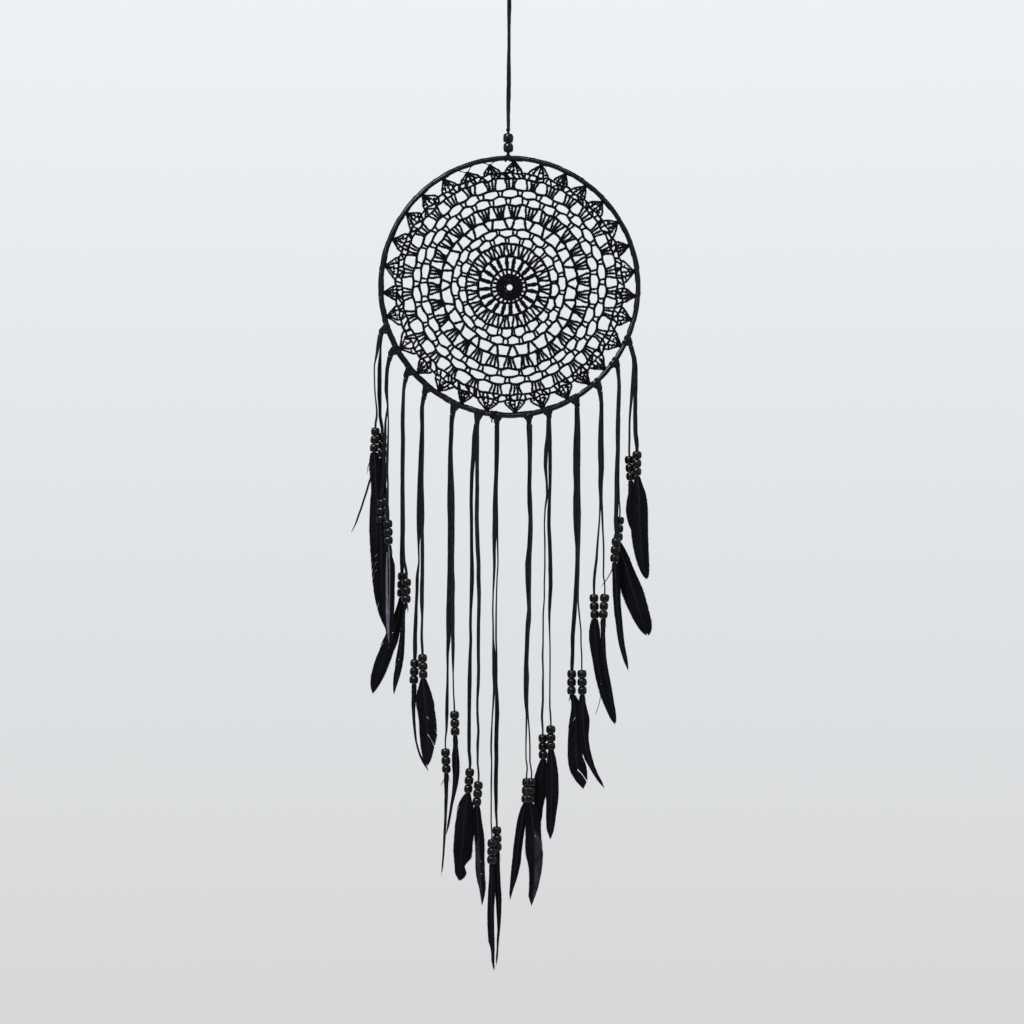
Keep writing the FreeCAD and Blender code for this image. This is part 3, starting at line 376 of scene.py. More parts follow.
# Outline of each feather as it hangs, from the bead down: left edge, tip, right edge
# (the right edge from the tip up), on a grid of 0.763 mm whose hoop centre is (509.3, 286.9).
FEATHER_PX = {
    "01a": ([(370, 453), (369, 460), (368.8, 468), (369.5, 476), (370.7, 484), (370.8, 492), (369.9, 500), (369.2, 512), (368.9, 530), (369.6, 548), (370.7, 564), (371.7, 578), (373.3, 592), (375.5, 604), (378.6, 615), (382, 623)],
            (385.3, 629),
            [(385.2, 614), (384.6, 590), (383.8, 560), (383.2, 530), (382.6, 500), (382, 480), (381.3, 466), (378, 453)]),
    "01b": ([(378.8, 458), (378, 470), (377.5, 500), (377.3, 560), (379.5, 600)],
            (384, 620),
            [(386, 600), (386.6, 560), (386.2, 530), (386, 500), (386.2, 476), (385.2, 458)]),
    "02a": ([(378.6, 524), (376.8, 545), (376.5, 575), (379, 605)],
            (385.4, 628),
            [(388, 600), (388.4, 560), (384.4, 524)]),
    "02b": ([(386, 545), (384.6, 560), (383.6, 580), (383.6, 600), (384.6, 620), (387, 636)],
            (389.6, 648),
            [(392.3, 636), (394.3, 622), (395, 610), (395.4, 594), (395.8, 578), (395.6, 565), (393, 557), (392.2, 545)]),
    "03a": ([(398.6, 598), (397, 605), (394.2, 613), (391, 622), (387, 631), (383, 639.5), (380, 645.5), (378.2, 652), (374.9, 660), (372.3, 668), (370.3, 676), (369.7, 684), (370.4, 690)],
            (372.4, 694.6),
            [(376, 690.5), (380.4, 684), (384.9, 676), (388.1, 668), (391, 660), (393.8, 652), (397.6, 643), (400.4, 630), (403, 612), (404, 598)]),
    "03b": ([(403.4, 604), (402.5, 612), (401, 625), (399.6, 638), (397.6, 650), (395.8, 660), (394.9, 668), (393.6, 676), (393.1, 684), (393.3, 690)],
            (394, 694.6),
            [(395.6, 690), (397.6, 684), (400.3, 676), (402.3, 668), (403.9, 660), (404.5, 652), (404.9, 642), (405.3, 632), (405.2, 620), (405.5, 611), (408.6, 604)]),
    "04a": ([(411.4, 685), (411.5, 694), (411.2, 704), (411.8, 715), (412.4, 722), (413.2, 729), (414, 736), (415.2, 743), (416.9, 750), (419.2, 757), (422.6, 764)],
            (428.2, 772),
            [(425.8, 764), (421.4, 757), (418.6, 750), (416.9, 743), (416.3, 736), (415.8, 729), (415.2, 720), (415.1, 710), (416, 700), (416.7, 685)]),
    "04b": ([(420.3, 679), (418.4, 687), (416.5, 694), (415.5, 701), (416.4, 708), (418, 715), (419.1, 723), (419.3, 733), (420.3, 743), (421, 750), (422.4, 757)],
            (427.6, 766),
            [(430.8, 761), (432.6, 756), (434, 750), (435.9, 743), (437.6, 736), (437.2, 729), (436.8, 722), (436, 715), (435, 708), (434, 701), (432.2, 694), (429.6, 687), (426.6, 679)]),
    "05a": ([(452.8, 736), (453.3, 745), (451.8, 755), (451.8, 765), (452.8, 775), (452.6, 785), (451.7, 795), (450.1, 805), (448.8, 815), (447.1, 825)],
            (446.2, 835),
            [(449.2, 826), (451.3, 815), (453, 805), (455.5, 795), (458.1, 785), (459.6, 775), (459.9, 765), (459.1, 755), (458, 745), (457.8, 736)]),
    "05b": ([(443.8, 774), (443.9, 785), (444.4, 795), (444.1, 805), (444.2, 815), (443.8, 825), (443.2, 835), (442.9, 845), (442.5, 855), (441.7, 865)],
            (441.3, 877),
            [(443.2, 866), (444.3, 855), (445, 845), (445.8, 835), (446.4, 825), (446.9, 815), (447.5, 805), (448, 795), (448.3, 785), (448.8, 774)]),
    "06a": ([(465, 794), (461.8, 798), (458.5, 804), (456.6, 811), (456.2, 818), (454.8, 825), (454, 832), (453.6, 839), (453.1, 846), (452.8, 853), (453.6, 860), (454.2, 867), (454.6, 875)],
            (459, 882),
            [(463.6, 880), (467, 875), (465.2, 871), (464.6, 867.5), (467.5, 864), (471.8, 860), (472.8, 853), (473.1, 845), (474.6, 837), (475.4, 828), (475.3, 818), (474.6, 811), (472.4, 804), (470.8, 794)]),
    "06b": ([(474, 806), (473.6, 815), (473.7, 825), (474.2, 835), (475, 846), (475.4, 855), (475.2, 866), (475.9, 874), (477.1, 881), (479.2, 888), (480.5, 896)],
            (482, 905.5),
            [(483.4, 901), (485, 895), (486, 888), (485.6, 881), (485.1, 874), (485, 867), (484.8, 858), (485, 846), (484.8, 839), (483.9, 832), (482.6, 825), (481.6, 818), (481, 811), (480, 806)]),
    "07a": ([(493.6, 852), (493.6, 870), (494.3, 890), (495.7, 901), (496.2, 911), (496.9, 922), (497.3, 932), (496.6, 941), (496.6, 950), (495.8, 959)],
            (496.3, 967),
            [(497.7, 959), (498.2, 950), (498.9, 941), (500, 932), (500.8, 923), (501.4, 914), (501.6, 905), (501.7, 896), (500.9, 887), (500.4, 878), (500, 869), (499.9, 860), (499.8, 852)]),
    "07b": ([(489, 864), (489.2, 871), (488.8, 879), (488.2, 888), (487.8, 896), (487.4, 905), (487.2, 914), (487.2, 923), (487.7, 932), (488.3, 941), (490.3, 947), (491.3, 953), (491.4, 960)],
            (493.8, 970.5),
            [(494.6, 962), (494.6, 955), (494.8, 948), (494.6, 938), (494.4, 926), (494.2, 914), (494.4, 905), (495.2, 896), (495.2, 885), (494.8, 875), (494.4, 864)]),
    "08a": ([(523, 804), (520.6, 809), (518.3, 816), (516.5, 824), (515.3, 832), (514.3, 840), (513.2, 848), (512.5, 856), (511.6, 864), (510.8, 872), (510.3, 880), (509.7, 888), (509.2, 895)],
            (510, 901.5),
            [(511.6, 896), (514.2, 888), (517.1, 880), (519.2, 872), (521, 864), (521.6, 856), (522.5, 848), (523.5, 840), (525, 831), (527, 818), (528.6, 804)]),
    "08b": ([(526.8, 803), (525.5, 815), (524.9, 832), (525, 848), (525.6, 856), (527.6, 864), (528.8, 872), (528.9, 880), (528.8, 888), (528.2, 896)],
            (531.4, 905.5),
            [(535.2, 896), (537.9, 888), (539.9, 880), (541.7, 872), (542.8, 864), (543.1, 856), (542.6, 848), (541.9, 840), (541.2, 832), (541.3, 824), (540.6, 816), (538, 809), (533.4, 803)]),
    "09a": ([(540.4, 760), (537.3, 768), (534.8, 776), (532.6, 784), (532.3, 792), (533, 801), (535.2, 811)],
            (541, 823),
            [(542.3, 818), (543.2, 809), (544.6, 802), (546.8, 795), (547.4, 786), (547.6, 776), (547.6, 768), (546.4, 760)]),
    "09b": ([(548, 750), (546.8, 760), (545.6, 770), (545.1, 784), (545.2, 794), (546, 802), (545.7, 812), (545.7, 820), (546.6, 830)],
            (550.2, 839.5),
            [(553.4, 832), (555, 824), (556, 816), (557.2, 808), (558.4, 800), (558.9, 792), (558.8, 784), (558.5, 776), (557.7, 768), (556.4, 760), (554, 750)]),
    "10a": ([(569.2, 695.5), (571.4, 702), (571.2, 710), (569.8, 718), (568.5, 726), (567.9, 734), (567.7, 744), (567.4, 756), (568.2, 766), (570.6, 774), (575.6, 782)],
            (583.5, 790),
            [(587.8, 782), (588, 774), (586.6, 766), (583, 758), (583.6, 750), (584, 735), (583, 715), (579.6, 702), (576, 695.5)]),
    "10b": ([(579.4, 695), (578.4, 702), (578, 712), (579, 726), (580.5, 742), (582.2, 752), (584.6, 760), (589, 767), (593, 774), (598.5, 782)],
            (604.2, 788),
            [(602.3, 782), (598, 774), (594.6, 766), (592.4, 758), (590.4, 750), (589, 742), (588.8, 734), (589.6, 726), (589.6, 718), (587.5, 710), (585.4, 702), (585, 695)]),
    "11a": ([(591.6, 619.5), (590.2, 624), (588.9, 632), (588.9, 640), (590, 648), (591.5, 656), (592.9, 664), (594.3, 672), (595.9, 680), (597.8, 688), (600.2, 696), (603.4, 704), (606.9, 712), (610.8, 720)],
            (615.2, 725.5),
            [(616.2, 720), (613.8, 714), (609, 700), (605.5, 685), (603, 665), (601.5, 645), (600.2, 630), (598.2, 619.5)]),
    "11b": ([(600.4, 619), (600.5, 640), (602, 660), (604, 680), (608, 700), (612, 714)],
            (616, 723),
            [(616.3, 717), (615.7, 711), (614.3, 704), (613, 696), (611.7, 688), (610.2, 680), (608.6, 672), (607.2, 664), (606.1, 656), (605.7, 646), (605.2, 634), (605.4, 626), (606.2, 619)]),
    "12a": ([(616, 542), (617, 555), (617.8, 570), (619, 582), (620.6, 590), (623, 598), (626.2, 606), (630, 614), (634, 622), (639.2, 630), (643.6, 634.5)],
            (648, 636.8),
            [(651.2, 634.4), (652.6, 629.5), (652.3, 622), (650.4, 614), (648.2, 606), (646, 598), (643.8, 590), (640.4, 582), (636.4, 574), (633, 566), (630, 558), (626, 550), (621.4, 542)]),
    "12b": ([(611.6, 563), (612.1, 574), (612.2, 590), (612.9, 600), (613.9, 614), (615.2, 622), (616.2, 630), (617.3, 638), (618.9, 646), (621.2, 654), (623.8, 662)],
            (628.2, 671),
            [(627.8, 662), (626.4, 654), (624.8, 646), (623.8, 638), (623, 630), (622.4, 622), (621.6, 614), (620.9, 606), (620.6, 598), (620.3, 588), (619.5, 575), (617.2, 563)]),
    "13a": ([(628.3, 481.3), (628.5, 487), (628.2, 494), (626.6, 502), (625.9, 510), (626.8, 518), (629.2, 526)],
            (633, 534),
            [(634.6, 524), (635, 505), (633.8, 481.3)]),
    "13b": ([(634, 476.5), (633, 490), (631.5, 505), (630.3, 520), (630.5, 534), (631.7, 542), (633.1, 550), (635, 558), (637.4, 566), (640.4, 572.5), (643.4, 577.2)],
            (646.4, 579.6),
            [(648.8, 577), (649.4, 571), (649.2, 565), (648.9, 556), (648.6, 546), (648.2, 534), (648.1, 520), (648, 510), (647.4, 502), (645.9, 494), (642.9, 486), (639.8, 476.5)]),
}
# Where barbs have parted from their neighbours: side (-1 left, 1 right), height on that grid.
PARTED = {
    "01a": [(-1, 566), (-1, 573), (-1, 580), (-1, 609)],
    "03a": [(-1, 648)],
    "03b": [(-1, 643), (-1, 649), (-1, 666)],
    "04b": [(1, 734), (1, 747)],
    "06a": [(-1, 812)],
    "06b": [(1, 869), (1, 881)],
    "08b": [(1, 849)],
    "10a": [(-1, 732), (1, 783)],
    "11a": [(-1, 692)],
}

HANGER = [
    (0, 0, -31.1),
    (-0.15, 0.12, -62),
    (-0.36, -0.1, -95),
    (-0.7, 0.06, -125),
    (-0.76, 0, -152.5),
]

# Lie of each tail: height below the origin, sideways sway from its route, width it shows
# to the front as it turns, all mm.
LIE = {
    "01a": [(-293, -0.4, 3.2), (-304, -0.4, 2.4), (-314, -1.6, 1.1), (-325, -0.9, 1.2), (-336, -0.6, 1.1),
            (-346, 0.4, 1.5), (-357, 1.7, 2.0)],
    "01b": [(-293, -1.1, 1.1), (-304, -1.0, 1.7), (-315, -1.3, 3.1), (-326, -1.2, 3.4), (-338, -1.5, 3.3),
            (-349, -1.4, 2.2), (-360, -1.6, 2.6)],
    "02a": [(-310, -1.0, 3.0), (-321, -1.1, 2.9), (-333, -0.7, 2.8), (-345, 1.3, 1.2), (-357, 0.3, 1.6),
            (-368, 0.7, 2.1), (-380, 0.8, 2.3), (-392, 0.9, 2.5)],
    "02b": [(-310, -1.4, 1.1), (-322, -1.3, 1.1), (-333, -0.7, 1.1), (-345, 0.0, 1.1), (-357, 0.2, 1.2),
            (-369, -0.1, 1.6), (-381, -0.4, 2.1), (-393, -0.5, 2.2), (-405, 0.5, 1.4), (-417, -0.4, 3.0),
            (-429, -1.2, 3.5)],
    "03a": [(-326, -0.7, 2.5), (-338, -0.5, 2.6), (-349, -0.5, 3.1), (-361, -0.3, 3.1), (-373, 0.0, 2.9),
            (-385, -0.0, 3.2), (-396, -0.1, 3.2), (-408, -0.1, 3.2), (-420, -0.1, 3.2), (-431, -0.2, 3.2),
            (-443, -0.1, 3.2), (-455, -0.3, 3.2), (-466, -0.2, 3.5)],
    "03b": [(-326, -1.5, 1.1), (-337, -1.2, 1.1), (-348, -0.8, 1.1), (-359, -0.5, 1.1), (-370, -0.0, 1.5),
            (-381, 0.0, 1.6), (-392, -0.0, 1.2), (-403, -0.2, 1.1), (-414, -0.3, 1.1), (-425, -0.6, 1.1),
            (-436, -1.0, 1.1), (-447, -1.7, 1.1), (-458, -1.7, 1.2), (-469, -1.5, 2.2)],
    "04a": [(-339, -0.9, 2.9), (-351, -0.7, 3.2), (-362, -0.0, 3.1), (-373, -0.3, 3.2), (-385, -0.5, 3.2),
            (-396, -0.7, 3.3), (-407, -0.8, 3.3), (-419, -1.0, 3.2), (-430, -0.8, 3.3), (-441, -0.3, 3.2),
            (-452, -0.2, 1.4), (-464, 0.5, 1.2), (-475, -0.5, 2.5), (-486, -0.3, 2.4), (-498, -0.5, 2.2),
            (-509, -0.5, 2.9), (-520, -0.5, 3.1), (-532, -0.2, 3.5)],
    "04b": [(-339, -1.6, 1.1), (-351, -1.0, 1.1), (-362, -0.4, 1.1), (-373, -0.0, 1.3), (-384, 0.0, 1.6),
            (-395, -0.0, 1.5), (-406, -0.0, 1.8), (-417, 0.0, 2.9), (-428, 0.1, 3.2), (-440, -0.1, 2.5),
            (-451, -0.1, 3.0), (-462, -0.0, 2.8), (-473, -0.0, 2.9), (-484, -0.2, 3.3), (-495, 0.0, 3.1),
            (-506, 0.3, 1.9), (-517, -0.2, 2.1), (-529, -0.5, 2.3)],
    "05a": [(-354, -0.5, 1.1), (-365, -0.4, 1.1), (-377, -0.8, 1.1), (-389, -0.4, 1.2), (-400, -0.0, 1.6),
            (-412, 0.1, 2.5), (-423, -0.0, 3.0), (-435, 0.0, 2.7), (-446, 0.0, 2.7), (-458, -0.0, 2.1),
            (-470, -0.1, 2.2), (-481, -0.0, 3.2), (-493, -0.3, 3.0), (-504, -0.5, 3.5), (-516, -0.5, 3.2),
            (-527, -0.2, 2.8), (-539, -0.3, 2.2), (-550, -0.3, 1.1), (-562, -0.3, 1.1), (-574, -0.2, 1.5)],
    "05b": [(-354, -0.1, 3.2), (-365, -0.2, 3.2), (-376, -0.6, 3.2), (-388, -0.8, 3.3), (-399, -0.7, 3.5),
            (-410, -0.9, 3.4), (-421, -0.8, 3.3), (-433, -0.5, 3.2), (-444, -0.4, 3.2), (-455, -0.4, 3.3),
            (-466, -0.4, 3.3), (-477, -0.6, 3.3), (-489, -0.7, 3.5), (-500, -0.9, 3.5), (-511, -0.7, 3.5),
            (-522, -0.1, 3.5), (-534, -0.4, 2.1), (-545, 0.2, 1.6), (-556, 0.7, 1.8), (-567, 1.1, 2.4),
            (-579, 1.3, 2.7), (-590, 1.2, 1.8), (-601, 0.5, 1.1)],
    "06a": [(-361, -0.8, 3.5), (-373, -0.8, 3.5), (-384, -0.7, 3.5), (-396, -1.2, 2.9), (-408, -1.1, 2.7),
            (-419, -1.0, 2.6), (-431, -0.5, 2.6), (-442, -0.3, 2.4), (-454, -0.1, 2.6), (-466, 0.3, 3.0),
            (-477, 0.4, 3.4), (-489, 0.1, 2.9), (-501, -0.3, 2.1), (-512, -0.4, 2.2), (-524, 0.1, 2.2),
            (-536, -0.3, 2.5), (-547, -0.5, 3.0), (-559, -0.8, 3.2), (-571, -1.2, 2.9), (-582, -1.6, 2.7),
            (-594, -1.7, 2.9), (-606, -1.4, 2.7), (-617, -0.9, 2.3)],
    "06b": [(-361, -0.2, 1.8), (-372, -0.1, 2.6), (-384, -0.2, 3.0), (-396, -0.1, 3.0), (-407, -0.1, 3.0),
            (-419, -0.5, 3.3), (-430, -0.9, 3.2), (-442, -0.8, 3.4), (-453, -0.7, 3.4), (-465, -0.2, 3.1),
            (-476, -0.4, 3.2), (-488, 0.0, 3.1), (-499, -0.1, 2.8), (-511, -0.4, 2.7), (-523, -0.4, 2.7),
            (-534, -0.3, 2.6), (-546, 0.1, 2.5), (-557, -0.1, 2.5), (-569, -0.9, 1.9), (-580, -1.1, 1.9),
            (-592, -0.8, 2.0), (-603, -1.6, 2.2), (-615, -1.4, 1.6), (-626, -0.8, 1.6)],
    "07a": [(-362, -0.0, 2.0), (-373, 0.0, 2.2), (-385, -0.0, 1.7), (-396, -0.2, 1.2), (-408, -0.4, 1.1),
            (-419, -0.3, 1.2), (-431, -0.0, 1.3), (-442, -0.0, 1.4), (-454, 0.3, 1.3), (-465, 0.6, 1.1),
            (-477, -0.1, 1.1), (-488, -0.4, 1.1), (-500, -0.6, 1.3), (-511, -0.6, 1.4), (-523, -0.6, 1.5),
            (-534, -0.1, 1.4), (-546, -0.0, 1.3), (-557, -0.2, 1.7), (-569, 0.0, 3.1), (-580, 0.1, 3.4),
            (-592, -0.4, 3.2), (-603, -0.6, 3.3), (-615, -0.3, 3.2), (-626, -0.5, 3.1), (-638, -0.5, 3.2),
            (-649, -0.3, 2.6), (-661, -0.7, 1.8)],
    "07b": [(-362, 0.0, 2.1), (-373, 0.0, 2.3), (-385, 0.0, 2.3), (-397, 0.0, 2.4), (-408, -0.0, 3.1),
            (-420, -0.2, 3.3), (-431, -0.1, 3.4), (-443, -0.0, 3.4), (-455, -0.1, 2.5), (-466, 0.2, 2.2),
            (-478, -0.2, 1.7), (-489, -0.6, 1.2), (-501, -0.8, 1.3), (-513, -0.4, 1.3), (-524, -0.4, 1.5),
            (-536, 0.2, 3.2), (-548, 0.1, 3.1), (-559, 0.2, 2.0), (-571, -0.3, 1.5), (-582, -0.8, 1.1),
            (-594, -0.9, 1.4), (-606, -0.9, 1.5), (-617, -0.3, 1.1), (-629, -0.5, 1.4), (-641, -0.7, 1.1),
            (-652, -0.7, 1.1), (-664, -0.7, 1.1)],
    "08a": [(-361, 0.0, 2.4), (-373, 0.0, 1.9), (-384, 0.0, 1.8), (-396, 0.0, 2.4), (-407, -0.1, 3.2),
            (-419, -0.2, 3.2), (-430, 0.0, 1.8), (-442, 0.0, 2.5), (-453, -0.1, 3.1), (-465, -1.2, 3.5),
            (-477, -0.6, 3.5), (-488, 0.0, 2.5), (-500, 0.4, 1.2), (-511, 0.0, 2.3), (-523, 0.0, 2.6),
            (-534, 0.0, 3.0), (-546, -0.3, 3.3), (-557, -0.4, 3.3), (-569, -0.3, 3.2), (-580, 0.0, 1.6),
            (-592, -0.6, 1.4), (-604, -1.0, 1.1), (-615, -0.8, 1.1), (-627, 1.5, 1.3)],
    "08b": [(-361, 0.0, 3.2), (-372, 0.0, 2.9), (-384, -0.0, 1.9), (-395, -0.0, 1.2), (-406, -0.5, 1.1),
            (-417, -0.1, 1.2), (-429, -0.1, 1.7), (-440, -0.0, 2.0), (-451, -0.0, 1.2), (-462, -0.5, 1.4),
            (-473, -0.5, 1.9), (-485, -0.1, 1.2), (-496, -0.1, 1.8), (-507, -0.0, 2.7), (-518, -0.2, 1.3),
            (-530, -0.3, 1.1), (-541, -0.6, 1.1), (-552, -0.1, 1.3), (-563, -0.7, 1.1), (-575, -1.4, 1.1),
            (-586, -1.6, 1.2), (-597, -1.7, 1.2), (-608, -1.7, 1.2)],
    "09a": [(-357, 0.2, 2.3), (-368, 0.1, 2.3), (-380, -0.5, 3.5), (-391, -0.6, 2.8), (-402, 0.7, 1.8),
            (-413, 1.5, 2.0), (-424, 0.0, 1.2), (-436, -0.3, 1.1), (-447, 0.2, 1.3), (-458, 0.2, 1.1),
            (-469, 0.2, 1.2), (-480, -0.1, 1.1), (-492, 0.1, 1.1), (-503, -0.5, 1.2), (-514, -0.3, 1.2),
            (-525, -0.1, 1.2), (-536, -0.3, 1.5), (-548, 0.3, 1.3), (-559, 0.2, 1.7), (-570, 0.3, 1.7),
            (-581, -0.5, 1.9), (-592, -0.6, 1.5)],
    "09b": [(-357, -0.1, 1.6), (-369, -0.1, 2.5), (-380, -0.3, 2.8), (-391, -0.3, 2.8), (-402, -0.3, 2.5),
            (-414, -0.5, 2.3), (-425, -0.9, 2.8), (-436, -1.1, 2.8), (-448, -0.6, 3.0), (-459, -0.5, 3.0),
            (-470, -0.5, 3.3), (-482, -0.4, 3.2), (-493, -1.0, 2.8), (-504, -1.4, 2.0), (-515, -1.2, 1.3),
            (-527, -0.8, 1.1), (-538, -0.7, 1.1), (-549, -0.7, 1.1), (-561, -0.8, 1.1), (-572, -0.8, 1.3),
            (-583, -0.5, 1.4)],
    "10a": [(-349, 0.0, 2.4), (-360, 0.0, 2.6), (-372, -0.5, 3.2), (-383, -0.8, 3.3), (-394, -0.7, 3.4),
            (-406, -0.2, 3.3), (-417, -0.7, 3.4), (-429, -0.7, 3.4), (-440, -0.2, 3.3), (-452, 0.2, 2.0),
            (-463, 0.3, 2.1), (-475, 0.3, 2.6), (-486, 0.2, 2.9), (-498, 0.3, 3.3), (-509, 0.1, 3.5),
            (-521, -0.3, 3.4), (-532, 0.1, 2.8), (-544, 0.3, 3.3)],
    "10b": [(-349, -0.0, 1.9), (-360, 0.0, 2.9), (-371, 0.0, 3.1), (-382, -0.0, 2.9), (-393, -0.1, 2.6),
            (-404, -0.0, 2.1), (-415, -0.1, 2.5), (-426, -0.1, 3.1), (-438, -0.0, 2.4), (-449, -0.1, 2.1),
            (-460, -0.3, 1.8), (-471, -0.4, 1.5), (-482, -0.9, 1.4), (-493, -1.3, 1.3), (-504, -0.7, 1.2),
            (-516, 0.2, 1.1), (-527, -0.1, 1.1), (-538, 0.4, 1.1)],
    "11a": [(-336, 1.1, 1.1), (-347, 0.7, 1.1), (-359, 0.0, 2.1), (-370, -0.2, 3.2), (-382, -0.3, 3.2),
            (-393, 0.0, 2.7), (-405, 0.1, 2.6), (-416, 0.9, 1.5), (-428, 1.4, 1.2), (-439, 1.6, 1.3),
            (-451, 1.7, 1.6), (-462, 1.6, 2.0), (-474, 0.4, 2.2), (-485, -0.1, 2.0)],
    "11b": [(-336, 0.2, 2.9), (-347, 0.1, 3.1), (-359, 0.0, 2.7), (-370, 0.0, 2.2), (-382, 0.0, 2.5),
            (-393, -0.0, 2.4), (-405, -0.5, 1.3), (-416, -1.1, 1.7), (-428, -1.1, 1.9), (-439, -1.2, 1.5),
            (-451, -1.2, 1.5), (-462, -1.4, 1.4), (-474, -1.5, 1.3), (-485, -0.4, 1.1)],
    "12a": [(-319, 1.0, 1.1), (-331, 0.5, 1.2), (-343, 0.0, 2.7), (-354, 0.0, 2.6), (-366, -0.1, 1.3),
            (-378, -0.7, 1.1), (-390, -1.5, 1.1), (-402, -1.7, 1.1), (-414, -1.1, 1.2), (-426, -0.8, 1.3)],
    "12b": [(-319, 0.1, 2.2), (-331, 0.4, 2.9), (-343, 0.1, 3.2), (-354, -0.3, 3.2), (-366, -0.4, 3.2),
            (-378, -0.1, 3.1), (-390, -0.7, 3.2), (-402, -1.1, 3.2), (-414, -1.1, 3.4), (-426, -1.1, 3.5)],
    "13a": [(-302, 1.7, 1.1), (-313, 1.6, 1.1), (-323, 0.9, 1.9), (-334, 0.4, 2.6), (-345, 0.1, 1.9),
            (-356, 0.2, 1.5), (-367, 0.4, 1.5), (-378, 0.5, 1.6)],
    "13b": [(-302, 1.1, 3.1), (-314, 1.6, 3.2), (-326, 0.6, 3.4), (-338, -0.5, 3.2), (-350, -1.1, 3.3),
            (-363, -1.1, 3.4), (-375, -0.7, 3.4)],
}
LACE_W, LACE_T = 3.4, 1.1

STEPS = np.radians(np.arange(10, 91))
SHOWS = np.array([2 * max(abs(a) * LACE_W / 2 * math.cos(q) + abs(b) * LACE_T / 2 * math.sin(q) for a, b in RIB)
                  for q in STEPS])


def eased(values, span):
    ker = np.hanning(span) / np.hanning(span).sum()
    return np.convolve(np.pad(values, span // 2, "edge"), ker, "valid")


BEAD_AT = {}
CORDS = {}
for key, route in TAILS.items():
    line = nurbs_line("tail_" + key, route, 0.9)
    zs, sway, shown = (np.array([t[i] for t in LIE[key]][::-1], float) for i in range(3))
    # the turn that shows that much of the lace, easing from height to height
    raw = np.interp(-np.interp(line[:, 2], zs, shown), -SHOWS, STEPS)
    turn = eased(raw, 13)
    hold = np.clip((line[:, 2] - route[-1][2] - 19.5) / 9.0, 0, 1) * np.clip((route[0][2] - line[:, 2]) / 9.0, 0, 1)
    line[:, 0] += eased(np.interp(line[:, 2], zs, sway), 9) * hold
    if (int(key[:2]) + ord(key[2])) % 2:
        turn = -turn
    t, side, normal = frames(line, (1, 0, 0))
    c, s = np.cos(turn)[:, None], np.sin(turn)[:, None]
    m = Mesher()
    width = np.where(line[:, 2] < route[-1][2] + 19.5, 2.7, LACE_W)
    width = np.convolve(np.pad(width, 3, "edge"), np.ones(7) / 7, "valid")
    m.rings(ribbon_rings(line, side * c + normal * s, normal * c - side * s,
                         width, LACE_T, 0.025, int(key[:2]) * 7 + ord(key[2])))
    lace = m.object("lace_" + key, [M_LACE])
    CORDS[key] = (lace, line)
    end = np.array(route[-1], float)
    along = unit(end - np.array(route[-2], float))
    BEAD_AT[key] = [(end - along * 6.3 * i, along) for i in (2, 1, 0)]

hang_line = nurbs_line("hanger", HANGER, 0.8)
t, side, normal = frames(hang_line, (1, 0, 0))
m = Mesher()
grow = np.interp(hang_line[:, 2], [-152.5, -140, -134, -131, -110, -60, -31.1],
                 [0.78, 0.74, 0.8, 0.93, 1, 0.93, 0.95])
for sign in (-1, 1):
    roll = np.radians(34) * np.sin(hang_line[:, 2] / 11.0 + 1.3) + sign * 0.15
    c, s = np.cos(roll)[:, None], np.sin(roll)[:, None]
    a, b = side * c + normal * s, normal * c - side * s
    place = hang_line + b * (sign * 0.52 * grow)[:, None] + a * (sign * 0.22 * grow)[:, None]
    m.rings(ribbon_rings(place, a, b, 2.75 * grow, 1.05 * grow, 0.05, 5 + sign))
hanger = m.object("hanger_lace", [M_LACE])

# ------------------------------------------------------------------ lace pieces with real crossings
def lace_along(mesher, points, normals, widths, thick=LACE_T, step=0.35, seed=0, mat=0):
    """A flat lace through the points, its face turned to the given normals."""
    pts = smooth_path(points, step)
    k = len(points)
    u = np.linspace(0, 1, len(pts))
    # where each given point falls along the line
    at = []
    for p in np.asarray(points, float):
        lo = at[-1] if at else 0
        d = np.linalg.norm(pts[lo:] - p, axis=1)
        near = d[: max(4, int(len(pts) * 2.2 / k))]
        at.append(lo + int(near.argmin()))
    at[-1] = len(pts) - 1
    at = u[np.array(at)]
    n = np.stack([np.interp(u, at, np.asarray(normals, float)[:, i]) for i in range(3)], 1)
    w = np.interp(u, at, widths)
    t = unit(np.gradient(pts, axis=0))
    n = unit(n - (n * t).sum(1, keepdims=True) * t)
    side = np.cross(n, t)
    mesher.rings(ribbon_rings(pts, side, n, w, thick, 0.04, seed), mat=mat)


# The loop that the whole thing hangs by, and its overhand knot.
m = Mesher()
loop = []
for a in np.linspace(-20, 200, 17):
    r = 5.55
    loop.append((-r * math.cos(math.radians(a)) * 1.0, 0.0, -5.0 + r * math.sin(math.radians(a))))
left = [(-1.1, -0.25, -25.0), (-1.6, -0.2, -22.0), (-3.0, -0.1, -16.5)]
right = [(3.0, 0.1, -16.5), (1.6, 0.2, -22.0), (1.1, 0.25, -25.0)]
pts = left + loop + right
nrm = []
for x, y, z in pts:
    nrm.append((x, 0.0, (z + 5.0) if z > -8 else -0.2 * abs(x)))
lace_along(m, pts, nrm, [2.3, 2.4, 2.6] + [2.8] * 17 + [2.6, 2.4, 2.3], 0.95, seed=31)
tre = []
for i in range(36):
    a = 2 * math.pi * i / 36
    tre.append((0.62 * (math.sin(a) + 2 * math.sin(2 * a)), 1.25 * math.sin(3 * a),
                -27.6 + 0.62 * (math.cos(a) - 2 * math.cos(2 * a))))
tre = smooth_path(tre, 0.3, closed=True)
t = unit(np.roll(tre, -1, 0) - np.roll(tre, 1, 0))
out = unit(tre - np.array([0, 0, -27.6]))
out = unit(out - (out * t).sum(1, keepdims=True) * t)
m.rings(ribbon_rings(tre, np.cross(out, t), out, 2.1, 1.2, 0.03, 8), closed=True)
